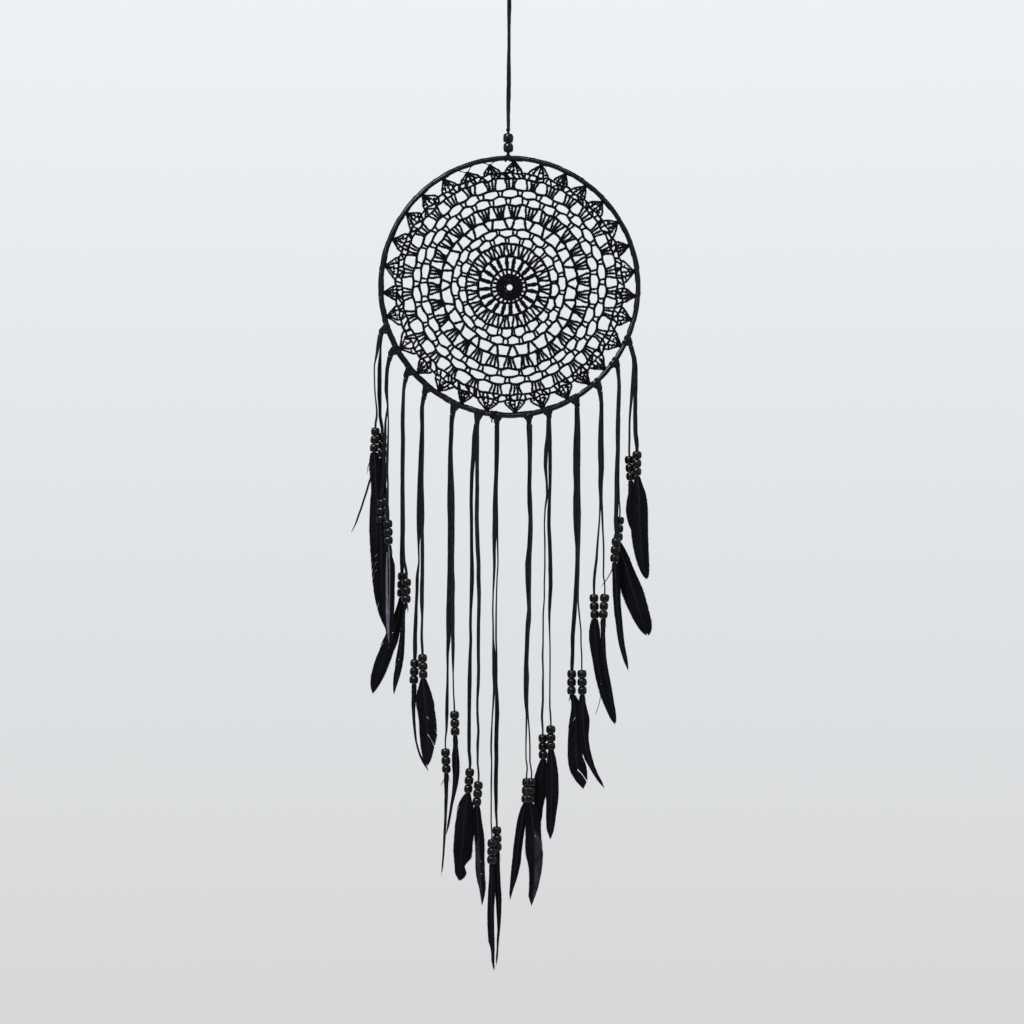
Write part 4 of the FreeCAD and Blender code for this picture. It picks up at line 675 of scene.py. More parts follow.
knob = smooth_path([(0, 0, -25.2), (0.3, 0.2, -27.5), (0, 0, -31.0)], 0.4)
t, side, normal = frames(knob, (1, 0, 0))
m.rings(round_rings(knob, side, normal, [1.3] * len(knob), 10))
loop_ob = m.object("hanging_loop_lace", [M_LACE])

# Knot over the two beads: a turned overhand in the hanger's own lace.
m = Mesher()
tre = []
for i in range(30):
    a = 2 * math.pi * i / 30
    tre.append((-0.9 + 0.36 * (math.sin(a) + 2 * math.sin(2 * a)), 0.85 * math.sin(3 * a),
                -134.3 + 0.5 * (math.cos(a) - 2 * math.cos(2 * a))))
tre = smooth_path(tre, 0.3, closed=True)
t = unit(np.roll(tre, -1, 0) - np.roll(tre, 1, 0))
out = unit(tre - np.array([-0.9, 0, -134.7]))
out = unit(out - (out * t).sum(1, keepdims=True) * t)
m.rings(ribbon_rings(tre, np.cross(out, t), out, 1.5, 0.95, 0.03, 9), closed=True)
hang_knot = m.object("hanger_knot_lace", [M_LACE])

# ------------------------------------------------------------------ hoop tape
TURNS_N = 31
steps = TURNS_N * 32
phases = [0.0, 0.012, 0.05, 0.11, 0.19, 0.28, 0.37, 0.46, 0.55, 0.64, 0.73, 0.82, 0.9, 0.96, 0.988]
rng = np.random.default_rng(12)
uu = np.arange(steps) * 2 * math.pi / steps
wob = sum(rng.uniform(0.3, 1) * np.sin(k * uu + rng.uniform(0, 6.3)) for k in (5, 9, 14, 23, 31))
rings = np.empty((steps, len(phases), 3))
for j, ph in enumerate(phases):
    shift = 0.16 * wob + 0.35 * np.sin(3 * uu)
    v = 2 * math.pi * ph + TURNS_N * uu + shift * 0.5
    r = 1.78 + 0.44 * (1 - ph) ** 0.8 * (1 + 0.25 * wob)
    if j == 0:
        r = r - 0.04
    r = r + 0.035 * np.sin(7 * v + 13 * uu) + 0.03 * np.sin(2 * v + 47 * uu)
    rad = HOOP + r * np.cos(v)
    rings[:, j, 0] = rad * np.sin(uu)
    rings[:, j, 2] = -DROP + rad * np.cos(uu)
    rings[:, j, 1] = r * np.sin(v)
m = Mesher()
m.rings(rings, closed=True)
tape = m.object("hoop_tape", [M_WRAP])

# ------------------------------------------------------------------ crochet web
PX = 0.763
rngw = np.random.default_rng(77)
TAU = 2 * math.pi

# The rounds of openings, from the middle out: count, angle of the first one clockwise
# from the top in degrees, how that angle and the radius drift round the web (cosine and
# sine of once, twice and three times round), inner and outer radius, unevenness.
ROUNDS = {
    "petal": (20, 4.1, (-1.7, -1.6, 0.1, -1.0, 0.1, -0.2), (0.5, -1.1, -0.5, 0.0, 0.4, -0.4), 18.6, 28.6, 0.7),
    "wedge": (20, 13.9, (-0.5, -1.3, 0.0, -0.3, 0.0, 0.2), (0.6, -1.2, -0.3, 0.2, 0.5, -0.2), 31.6, 41.1, 0.7),
    "oval_1": (20, 4.8, (0.6, -0.2, -0.4, -1.1, 0.6, 0.8), (0.5, -1.1, 0.1, 0.3, 0.0, -0.2), 43.5, 50.2, 0.8),
    "oval_2": (20, 14.8, (0.5, -0.4, -0.4, -0.9, 0.7, 1.0), (0.3, -0.7, 0.5, 0.2, -0.5, 0.2), 50.2, 56.9, 0.8),
    "cell": (40, -1.6, (1.2, -1.0, -0.6, -0.6, 0.6, 0.6), (0.3, 0.1, 0.4, 0.0, -0.6, 0.3), 58.4, 67.6, 0.6),
    "fan": (30, 8.6, (1.9, -1.5, -0.5, -0.4, 0.5, 0.2), (0.1, 0.2, 0.6, -0.2, -0.7, 0.5), 70.0, 81.1, 0.45),
    "oval_3": (30, 2.9, (2.2, -1.8, -0.7, -0.2, 0.5, -0.3), (0.4, 0.3, 0.4, 0.1, -0.6, 0.2), 81.9, 89.5, 0.5),
    "oval_4": (30, -1.5, (2.1, -2.1, -0.6, -0.6, 0.7, 0.2), (0.4, 0.2, 0.3, 0.1, -0.6, 0.1), 89.6, 96.7, 0.4),
    "round": (30, 5.2, (2.2, -2.3, -0.5, -0.7, 0.4, 0.3), (0.6, 0.5, 0.3, 0.1, -0.5, 0.2), 97.1, 106.5, 0.5),
    "tooth": (30, 6.3, (3.0, -2.8, -0.3, -0.3, -0.4, 0.3), (0.2, 0.3, 0.3, 0.3, -0.3, 0.0), 115.5, 126.6, 1.0),
}


def drift(c, th):
    return sum(c[2 * j] * np.cos((j + 1) * th) + c[2 * j + 1] * np.sin((j + 1) * th) for j in range(3))


HOLE = {}
for name, (count, first, turn_c, rad_c, lo, hi, rough) in ROUNDS.items():
    base = np.radians(first + 360.0 / count * np.arange(count))
    HOLE[name] = base + np.radians(drift(turn_c, base) + rngw.normal(0, 1.4 * rough, count).clip(-2.2 * rough, 2.2 * rough))


def phase(name, th):
    """How far round, counted in openings, with a whole number at each opening's middle."""
    h = HOLE[name]
    n = len(h)
    ext = np.concatenate([h - TAU, h, h + TAU])
    return np.interp(np.mod(th, TAU), ext, np.arange(-n, 2 * n))


def between(lower, upper, extra=0.0):
    """The radius, at any angle, of the line of stitches between two rounds of openings."""
    lo, up = ROUNDS[lower], ROUNDS[upper]
    high, low = lo[5], up[4]
    amp = max(0.25, 1.1 + (high - low) / 2)
    same = lo[0] == up[0]

    def radius(th):
        r = (high + low) / 2 + extra + (drift(lo[3], th) + drift(up[3], th)) / 2
        r = r + amp * (0.5 if same else 0.9) * np.cos(TAU * phase(lower, th))
        if same:
            r = r - amp * 0.5 * np.cos(TAU * phase(upper, th))
        return r
    return radius


def plain(mean, near):
    return lambda th: mean + 0.8 * drift(ROUNDS[near][3], th)


NOISE = [(rngw.uniform(0.1, 0.3), rngw.integers(3, 60), rngw.uniform(0, 6.3), rngw.uniform(0.02, 0.2)) for _ in range(14)]


def place(r, th, y=0.0):
    """Polar place in the web to mm, with the small unevenness of handwork."""
    r, th = np.asarray(r, float), np.asarray(th, float)
    calm = np.sin(np.pi * np.clip((r - 4) / 123, 0, 1)) ** 0.6
    n = sum(a * np.sin(k * th + p + r * q) for a, k, p, q in NOISE)
    m_ = sum(a * np.cos(k * th + p * 2 + r * q) for a, k, p, q in NOISE)
    x = (r + 0.6 * n * calm) * np.sin(th) + 0.42 * m_ * calm * np.cos(th)
    z = (r + 0.6 * n * calm) * np.cos(th) - 0.42 * m_ * calm * np.sin(th)
    x = x + 0.3 * np.exp(-(r / 18) ** 2)
    z = z - 0.6 * np.exp(-(r / 18) ** 2)
    yy = y + 0.3 * calm * np.sin(3 * th + r * 0.05) + 0.12 * n * calm
    return np.stack([x * PX, yy, -DROP + z * PX], -1)


web = Mesher()


def lay_line(path, y, closed, step):
    p = np.asarray(path, float)
    if p.shape[1] == 2:
        p = np.concatenate([p, np.full((len(p), 1), y)], 1)
    line = smooth_path(place(p[:, 0], p[:, 1], p[:, 2]), step, closed=closed)
    if closed:
        t = unit(np.roll(line, -1, 0) - np.roll(line, 1, 0))
        side = unit(np.cross(np.array([0, 1.0, 0]), t))
        return line, side, np.cross(t, side)
    t, normal, side = frames(line, (0, 1, 0))
    return line, side, normal


FAT = 1.42


def uneven(count, step, depth):
    """Hand-spun unevenness along a yarn: slow swells, no two alike."""
    s_ = np.arange(count) * step
    return 1 + depth * (np.sin(s_ * rngw.uniform(1.0, 1.6) + rngw.uniform(0, 6.3))
                        + 0.7 * np.sin(s_ * rngw.uniform(2.1, 3.3) + rngw.uniform(0, 6.3)))


def yarn(path, ply=2, size=0.95, pitch=2.6, y=0.0, closed=False, bulge=None, step=0.5, sides=6, taper=None):
    """A post of plied yarn along a polar path.  size is its whole width, mm."""
    line, side, normal = lay_line(path, y, closed, step)
    m_ = len(line)
    length = m_ * step
    turns = max(1, round(length / pitch)) if closed else length / pitch
    ph0 = rngw.uniform(0, 6.3)
    s = np.arange(m_) / max(1, m_ - 1)
    grow = np.ones(m_)
    if bulge is not None:
        grow = bulge[0] + (bulge[1] - bulge[0]) * np.sin(np.pi * s) ** 0.8
    if taper is not None:
        grow = grow * (1 + (taper - 1) * s**1.5)
    size = size * FAT
    grow = grow * uneven(m_, step, 0.09)
    off = size * (0.215 if ply == 2 else 0.25) * grow
    rad = size * (0.31 if ply == 2 else 0.27) * grow
    for k in range(ply):
        a = 2 * math.pi * (turns * s + k / ply) + ph0
        at = line + side * (np.cos(a) * off)[:, None] + normal * (np.sin(a) * off * 0.9)[:, None]
        web.rings(round_rings(at, side, normal, rad, sides), closed=closed)


def chain(path, size=1.7, y=0.0, closed=False, pitch=4.2, step=0.45):
    """A crochet chain: three strands plaited flat along the path.  size is its width, mm."""
    line, side, normal = lay_line(path, y, closed, step)
    m_ = len(line)
    length = m_ * step
    turns = max(1, round(length / pitch)) if closed else length / pitch
    ph0 = rngw.uniform(0, 6.3)
    s = np.arange(m_) / m_
    size = size * FAT
    k1, k2 = int(rngw.integers(17, 29)), int(rngw.integers(41, 67))
    p1, p2 = rngw.uniform(0, 6.3, 2)
    grow = 1 + 0.09 * np.sin(TAU * k1 * s + p1) + 0.07 * np.sin(TAU * k2 * s + p2)
    for k in range(3):
        a = 2 * math.pi * (turns * s + k / 3) + ph0
        at = (line + side * (np.cos(a) * size * 0.26 * grow)[:, None]
              + normal * (np.sin(2 * a) * size * 0.13)[:, None])
        web.rings(round_rings(at, side, normal, size * 0.235 * grow, 6), closed=closed)


def ring(radius, size=1.7, n=None, y=0.0, wave=1.0):
    """A closed line of chain whose radius is a number or a function of the angle."""
    n = n or 60
    th = np.arange(n) * TAU / n
    r = radius(th) if callable(radius) else np.full(n, float(radius))
    chain(np.stack([r, th, np.full(n, y)], 1), size, closed=True)


def gaps(name):
    """Angles half way between neighbouring openings."""
    h = HOLE[name]
    return (h + np.append(h[1:], h[0] + TAU)) / 2


def posts(name, low, high, inner, outer, size=1.5, middle=None, ply=2, pitch=2.6, bulge=None, offs=(-1, 1)):
    """Posts that stand between the openings of a round; inner and outer are half spreads."""
    for th in gaps(name):
        th = th + rngw.normal(0, 0.004)
        for o in offs:
            a, c = low(th + o * inner / 60), high(th + o * outer / 60)
            mid = (a + c) / 2
            half = (inner + outer) / 2 if middle is None else middle
            sag = rngw.normal(0, 0.35) / mid
            yarn([(a, th + o * inner / a), ((a * 2 + c) / 3, th + sag + o * (inner * 0.45 + half * 0.55) / mid),
                  ((a + c * 2) / 3, th + sag + o * (outer * 0.45 + half * 0.55) / mid), (c, th + o * outer / c)],
                 ply, size * rngw.uniform(0.93, 1.07), pitch, y=0.16 * o + rngw.normal(0, 0.05), bulge=bulge)


L1 = plain(17.2, "petal")
L2 = between("petal", "wedge")
L3 = between("wedge", "oval_1")
L4 = between("oval_1", "oval_2")
L5 = between("oval_2", "cell")
L6 = between("cell", "fan")
L7 = between("fan", "oval_3")
L8 = between("oval_3", "oval_4")
L9 = between("oval_4", "round")


def L10(th):
    return 107.9 + drift(ROUNDS["round"][3], th) + 0.5 * np.cos(TAU * phase("round", th))


def L11(th):
    return 113.6 + 0.7 * drift(ROUNDS["tooth"][3], th) + 0.5 * np.cos(TAU * phase("tooth", th))


# centre: closed rounds, then a round of small eyelets
for i, r in enumerate((4.1, 6.3, 8.4, 10.5, 12.5)):
    ring(r, 1.48, 36, 0.15 * math.sin(r))
for k in range(22):
    th = TAU * (k + 0.5) / 22 + rngw.normal(0, 0.02)
    yarn([(12.6, th), (14.9, th), (17.0, th)], 2, 1.66, 2.4)
ring(L1, 1.6, 60)
posts("petal", L1, L2, 0, 0, 2.4, ply=3, pitch=5.2, bulge=(0.7, 1.05), offs=(0,))
ring(L2, 1.75, 80)
posts("wedge", L2, L3, 2.3, 4.7, 1.6, offs=(-1, 0, 1))
ring(L3, 1.7, 100)
posts("oval_1", L3, L4, 1.35, 1.75, 1.4)
ring(L4, 1.6, 120)
posts("oval_2", L4, L5, 1.5, 2.1, 1.45)
ring(L5, 1.65, 140)
# V stitches: pairs that part from one point
V = HOLE["cell"]
for k in range(0, 40, 2):
    left = (V[k] + (V[k - 1] if k else V[-1] - TAU)) / 2
    right = (V[k] + V[k + 1]) / 2
    for o, end in ((-1, left), (1, right)):
        mid = V[k] + o * 0.9 / 58
        a, c = L5(mid), L6(end)
        yarn([(a, mid), ((2 * a + c) / 3, mid * 0.6 + end * 0.4 + o * 0.004), ((a + 2 * c) / 3, mid * 0.25 + end * 0.75),
              (c, end)], 2, 1.75, 2.6, y=0.15 * o)
ring(L6, 1.7, 160)
posts("fan", L6, L7, 2.9, 6.0, 1.62, offs=(-1, -0.33, 0.33, 1))
ring(L7, 1.65, 150)
posts("oval_3", L7, L8, 1.5, 2.4, 1.45)
ring(L8, 1.55, 240)
posts("oval_4", L8, L9, 1.7, 2.9, 1.45)
ring(L9, 1.6, 240)
posts("round", L9, L10, 4.1, 6.6, 1.55, middle=4.1, offs=(-1, -0.33, 0.33, 1))
ring(lambda q: L10(q) + 0.3 * np.sin(41 * q + 0.4) + 0.25 * np.sin(67 * q), 1.45, 240)
# the close stitches under the shells
count = 168
for k in range(count):
    th = TAU * k / count + rngw.normal(0, 0.012)
    lean = rngw.normal(0, 0.019)
    yarn([(L10(th), th - lean), ((L10(th) + L11(th)) / 2, th), (L11(th), th + lean)], 2,
         1.55 * rngw.uniform(0.85, 1.15), 2.3)
ring(lambda q: L11(q) + 0.5 * np.sin(37 * q + 1.0) + 0.45 * np.sin(61 * q), 1.4, 240)
# triangular shells drawn together at the hoop
teeth = HOLE["tooth"]
for k in range(30):
    a = teeth[k]
    b = teeth[k + 1] if k < 29 else teeth[0] + TAU
    tip = (a + b) / 2 + rngw.normal(0, 0.006)
    # two tips near the top stop short of the hoop and hang on thin threads
    where = math.degrees(tip) % 360
    short = 3.2 if abs(where - 351) < 5 else 4.6 if abs(where - 339.5) < 5 else 0.0
    top = 127.4 - short
    for j in (-1, -0.5, 0, 0.5, 1):
        foot = (a + b) / 2 + j * (b - a) / 2 * 0.78
        end = tip + j * 1.0 / 127
        r0 = L11(foot)
        bow = 0.66 + rngw.uniform(-0.07, 0.07)
        q = (top - r0) / (127.4 - r0)
        yarn([(r0, foot), (r0 + 3.6 * q, foot * bow * 1.2 + end * (1 - bow * 1.2)),
              (r0 + 7.6 * q, foot * 0.36 + end * 0.64),
              (r0 + (124.6 - r0) * q, foot * 0.08 + end * 0.92), (top, end)], 2, (1.5 if abs(j) == 1 else 1.35), 2.6,
             y=0.14 * (1 if round(j * 5) % 2 else -1), taper=0.7)
    if short:
        for lean in (-0.075, 0.062):
            yarn([(top - 1.4, tip, -0.3), (top + 0.4, tip + lean * 0.3, -0.4), (128.0, tip + lean, -0.9)], 2, 0.62, 1.8)
    # short cross loops that tie the posts of the shell
    for f, rr, rise in ((0.42, 116.0, 1.6), (-0.4, 116.6, -1.8), (0.05, 117.0, 1.2), (-0.22, 119.4, 2.2),
                        (0.2, 119.2, -2.0), (0.02, 121.4, 1.4), (0.0, 123.8, 0.3)):
        th = tip + f * (b - a) / 2 + rngw.normal(0, 0.005)
        rr += rngw.uniform(-0.7, 0.7)
        rr -= short * (rr - 112) / 15
        rise += rngw.uniform(-0.9, 0.9)
        w_ = rngw.uniform(1.3, 2.4) / 118 * (1 if rr < 122 else 0.6)
        yarn([(rr - 0.5 - rise / 2, th - w_, -0.5), (rr + rngw.uniform(-0.3, 0.9), th, -0.75),
              (rr - 0.5 + rise / 2, th + w_, -0.5)], 2, 1.3, 2.0)
    # the binding round the drawn-up tip
    yarn([(top - 2.8, tip - 0.016, -0.55), (top - 3.2, tip, -0.95), (top - 2.8, tip + 0.016, -0.55)], 2, 0.86, 2.0)
# the yarn that runs from tip to tip along the inner side of the hoop
run = np.linspace(2.6, 5.3, 90)
yarn(np.stack([126.4 - 0.7 * np.abs(np.sin(run * 15)) ** 3, run, -1.0 + 0.3 * np.sin(run * 31 + 1)], 1), 2, 0.8, 1.8)
web_ob = web.object("crochet_web_yarn", [M_YARN])

# the yarn's tie and tuft, on the hoop beside the seventh knot
m = Mesher()
def hoop_point(th, r_out, v):
    """A point round the hoop's tube: th clockwise from the top, v round the tube, 0 outward, 90 front."""
    rad = HOOP + r_out * math.cos(v)
    return (rad * math.sin(th), -r_out * math.sin(v), -DROP + rad * math.cos(th))
for i, off in enumerate((-0.036, -0.022, -0.008, 0.006)):
    th0 = math.pi + 0.135 + off
    ringpts = [hoop_point(th0 + 0.006 * math.sin(a * 1.0 + i), 2.75, a) for a in np.linspace(0, TAU, 17)[:-1]]
    line = smooth_path(ringpts, 0.5, closed=True)
    t = unit(np.roll(line, -1, 0) - np.roll(line, 1, 0))
    centre = np.array(hoop_point(th0, 0, 0))
    out = unit(line - centre)
    out = unit(out - (out * t).sum(1, keepdims=True) * t)
    m.rings(round_rings(line, np.cross(t, out), out, 0.5, 7), closed=True)
tuft_rng = np.random.default_rng(5)
root = np.array(hoop_point(math.pi + 0.118, 2.7, 0.25))
for i in range(9):
    a = tuft_rng.uniform(0, TAU)
    end = root + np.array([1.3 * math.cos(a) - 0.3, 0.8 * math.sin(a), -2.6 - tuft_rng.uniform(0, 1.4)])
    mid = (root + end) / 2 + np.array([math.cos(a) * 1.0, math.sin(a) * 0.6, 0.2])
    line = smooth_path([root, mid, end], 0.5)
    t, side, normal = frames(line, (1, 0, 0))
    m.rings(round_rings(line, side, normal, np.linspace(0.42, 0.2, len(line)), 6))
tie_ob = m.object("yarn_tie", [M_YARN])

# ------------------------------------------------------------------ lark's heads
m = Mesher()
CENTRE = np.array([0.0, 0.0, -DROP])
knot_rng = np.random.default_rng(21)
for key, (kx, kz, low, high) in KNOTS.items():
    K = np.array([kx, 0.0, kz])
    D = unit(K - CENTRE)                       # outward from the hoop's middle
    T = np.array([D[2], 0.0, -D[0]])           # along the hoop
    if T[0] < 0:
        T = -T
    F = np.array([0.0, -1.0, 0.0])             # towards the front
    C = CENTRE + D * HOOP
    reach = float(np.linalg.norm(K - CENTRE)) - HOOP
    down = np.array([0.0, 0.0, -1.0])
    a0, b0 = np.array(TAILS[key + "a"][0]), np.array(TAILS[key + "b"][0])
    if a0[0] > b0[0]:
        a0, b0 = b0, a0
    w = 2.7
    j1 = knot_rng.uniform(-0.3, 0.3, 4)
    pts, nrm, wid = [], [], []

    def put(p, n, width):
        pts.append(p)
        nrm.append(n)
        wid.append(width)

    s1, s2 = 2.65, 1.35
    thin = 0.75
    # up from the first tail, behind the bight, round the hoop, down the front and across
    put(a0 + np.array([0.15, 0.1, 0.35]), F * -0.2 + T * -0.3 + F * -0.6, 2.4)
    put(K - T * 0.95 - F * 1.1 + D * 0.2, -F, 2.2)
    put(C - T * s2 - F * 2.3 + D * 1.2, -F + D * 0.25, 2.5)
    put(C - T * (s2 + 0.3) - F * 2.1 - D * 1.15, -F - D * 0.6, w)
    put(C - T * (s2 + 0.6) - D * 2.2, -D, w)
    put(C - T * (s1 - 0.35) + F * 2.1 - D * 1.15, F - D * 0.6, w)
    put(C - T * s1 + F * 2.4 + D * 0.5, F, w)
    put(C - T * (s1 - 0.35) + F * 2.0 + D * 2.3, F + D * 0.2, 2.5)
    put(K - T * 1.55 + F * 1.65 - D * 1.0, F + D * 0.2, 2.0)
    put(K - T * 0.8 + F * 1.75 + D * 0.7, F + D * 0.3, 1.7)
    put(K + T * 0.8 + F * 1.75 + D * 0.7, F + D * 0.3, 1.7)
    put(K + T * 1.55 + F * 1.65 - D * 1.0, F + D * 0.2, 2.0)
    put(C + T * (s1 - 0.35) + F * 2.0 + D * 2.3, F + D * 0.2, 2.5)
    put(C + T * s1 + F * 2.4 + D * 0.5, F, w)
    put(C + T * (s1 - 0.35) + F * 2.1 - D * 1.15, F - D * 0.6, w)
    put(C + T * (s2 + 0.6) - D * 2.2, -D, w)
    put(C + T * (s2 + 0.3) - F * 2.1 - D * 1.15, -F - D * 0.6, w)
    put(C + T * s2 - F * 2.3 + D * 1.2, -F + D * 0.25, 2.5)
    put(K + T * 0.95 - F * 1.1 + D * 0.2, -F, 2.2)
    put(b0 + np.array([-0.15, -0.1, 0.35]), F * -0.2 + T * 0.3 + F * -0.6, 2.4)
    lace_along(m, pts, nrm, wid, thin, 0.4, seed=int(key))
    # inner lay of the bight: the lace folds on itself as it is drawn tight
    pts, nrm, wid = [], [], []
    put(C - T * 1.2 + F * 2.2 + D * 0.9, F, 1.9)
    put(C - T * 1.0 + F * 2.0 + D * 2.6, F, 1.9)
    put(K - T * 0.5 + F * 1.2 - D * 0.2, F, 1.5)
    put(K + T * 0.5 + F * 1.2 - D * 0.2, F, 1.5)
    put(C + T * 1.0 + F * 2.0 + D * 2.6, F, 1.9)
    put(C + T * 1.2 + F * 2.2 + D * 0.9, F, 1.9)
    lace_along(m, pts, nrm, wid, thin, 0.4, seed=int(key) + 50)
    # the drawn-up throat: a funnel from the hoop's outer side down to the neck
    rows = []
    for u_ in np.linspace(0, 1, 12):
        at = C + D * (1.7 + u_ * (reach - 1.7)) + (down * 5.2 + D * 0.2) * max(0.0, u_ - 0.5) / 0.5
        hw = 1.55 + 2.35 * (1 - u_) ** 2.0
        hd = 1.2 + 0.4 * (1 - u_)
        rows.append([at + T * hw * math.cos(q) + F * hd * math.sin(q) for q in np.linspace(0, TAU, 17)[:-1]])
    m.rings(np.array(rows))
# the hanger's own tie over the top of the hoop
C = CENTRE + np.array([-0.76, 0, HOOP])
for s, x0, x1 in ((-1, -0.5, -2.1), (1, 0.5, 1.8)):
    pts = [C + np.array([x0 * 0.6, -0.3, 3.4]), C + np.array([x0, -1.4, 2.5]), C + np.array([x1 * 0.8, -2.3, 1.0]),
           C + np.array([x1, -2.4, -0.8]), C + np.array([x1, -1.1, -2.3]), C + np.array([x1, 1.1, -2.3]),
           C + np.array([x1, 2.4, -0.8]), C + np.array([x1 * 0.8, 2.3, 1.0]), C + np.array([x0, 1.4, 2.5]),
           C + np.array([x0 * 0.6, 0.3, 3.4])]
    nrm = [(0, -1, 0.3), (0, -1, 0.8), (0, -1, 0.3), (0, -1, -0.3), (0, -0.4, -1), (0, 0.4, -1), (0, 1, -0.3),
           (0, 1, 0.3), (0, 1, 0.8), (0, 1, 0.3)]
    lace_along(m, pts, nrm, [1.5, 1.6, 1.8, 1.8, 1.8, 1.8, 1.8, 1.8, 1.6, 1.5], 0.6, 0.35, seed=90 + s)
knots_ob = m.object("lark_head_laces", [M_LACE])

# ------------------------------------------------------------------ beads
def bead_profile(radius, end, hole, half, full=0.95):
    """Half section of a round bead with a flat ring about its hole, from the top down."""
    pts = [(hole, half - 0.45), (hole + 0.1, half - 0.12), (hole + 0.32, half)]
    for u in np.linspace(0.06, 0.94, 13):
        a = math.pi / 2 * (1 - 2 * u)
        r = end + (radius - end) * abs(math.cos(a)) ** full
        pts.append((r, half * math.copysign(abs(math.sin(a)) ** (0.5 + full / 2), math.sin(a))))
    pts += [(hole + 0.32, -half), (hole + 0.1, -half + 0.12), (hole, -half + 0.45), (hole - 0.02, 0)]
    return pts


def add_bead(mesher, place, axis, radius, half, rng, hole=1.5, seg=32, full=0.9):
    axis = unit(axis)
    x = unit(np.cross(axis, (0.3, 1.0, 0.2)))
    y = np.cross(axis, x)
    radius = radius * rng.uniform(0.97, 1.03)
    prof = bead_profile(radius, radius * rng.uniform(0.53, 0.57), hole, half * rng.uniform(0.985, 1.0), full)
    spin = rng.uniform(0, 6.3)
    amp = rng.uniform(0.0, 0.03)
    rows = []
    for i in range(seg):
        a = TAU * i / seg
        lump = 1 + amp * math.sin(2 * a + spin) + 0.008 * math.sin(5 * a + spin * 2)
        row = []
        for (r, z) in prof:
            k = lump if r > hole + 0.3 else 1.0
            row.append(place + (x * math.cos(a) + y * math.sin(a)) * r * k + axis * z)
        rows.append(row)
    mesher.rings(np.array(rows), closed=True)


bead_obs = {}
bead_rng = np.random.default_rng(3)
for key, list_ in BEAD_AT.items():
    m = Mesher()
    for place, along in list_:
        add_bead(m, place, -along, 3.52, 3.08, bead_rng)
    bead_obs[key] = m.object("beads_" + key, [M_BEAD])
m = Mesher()
add_bead(m, np.array([-0.76, 0, -140.5]), (0.05, 0, 1), 3.95, 3.4, bead_rng, hole=1.5, full=0.6)
add_bead(m, np.array([-0.76, 0, -147.8]), (-0.02, 0, 1), 3.88, 3.4, bead_rng, hole=1.5, full=0.6)
hang_beads = m.object("hanger_beads_turned", [M_BEAD])

# ------------------------------------------------------------------ feathers
def pxp(p):
    return ((p[0] - 509.3) * PX, -DROP + (286.9 - p[1]) * PX)


# Feather sides whose lower barbs take the painted-sheen material: the grey-lilac highlight is painted as a lighter
# colour.
PAINTED_SHEEN_SIDES = {("08b", 1), ("06b", -1), ("01b", 1)}


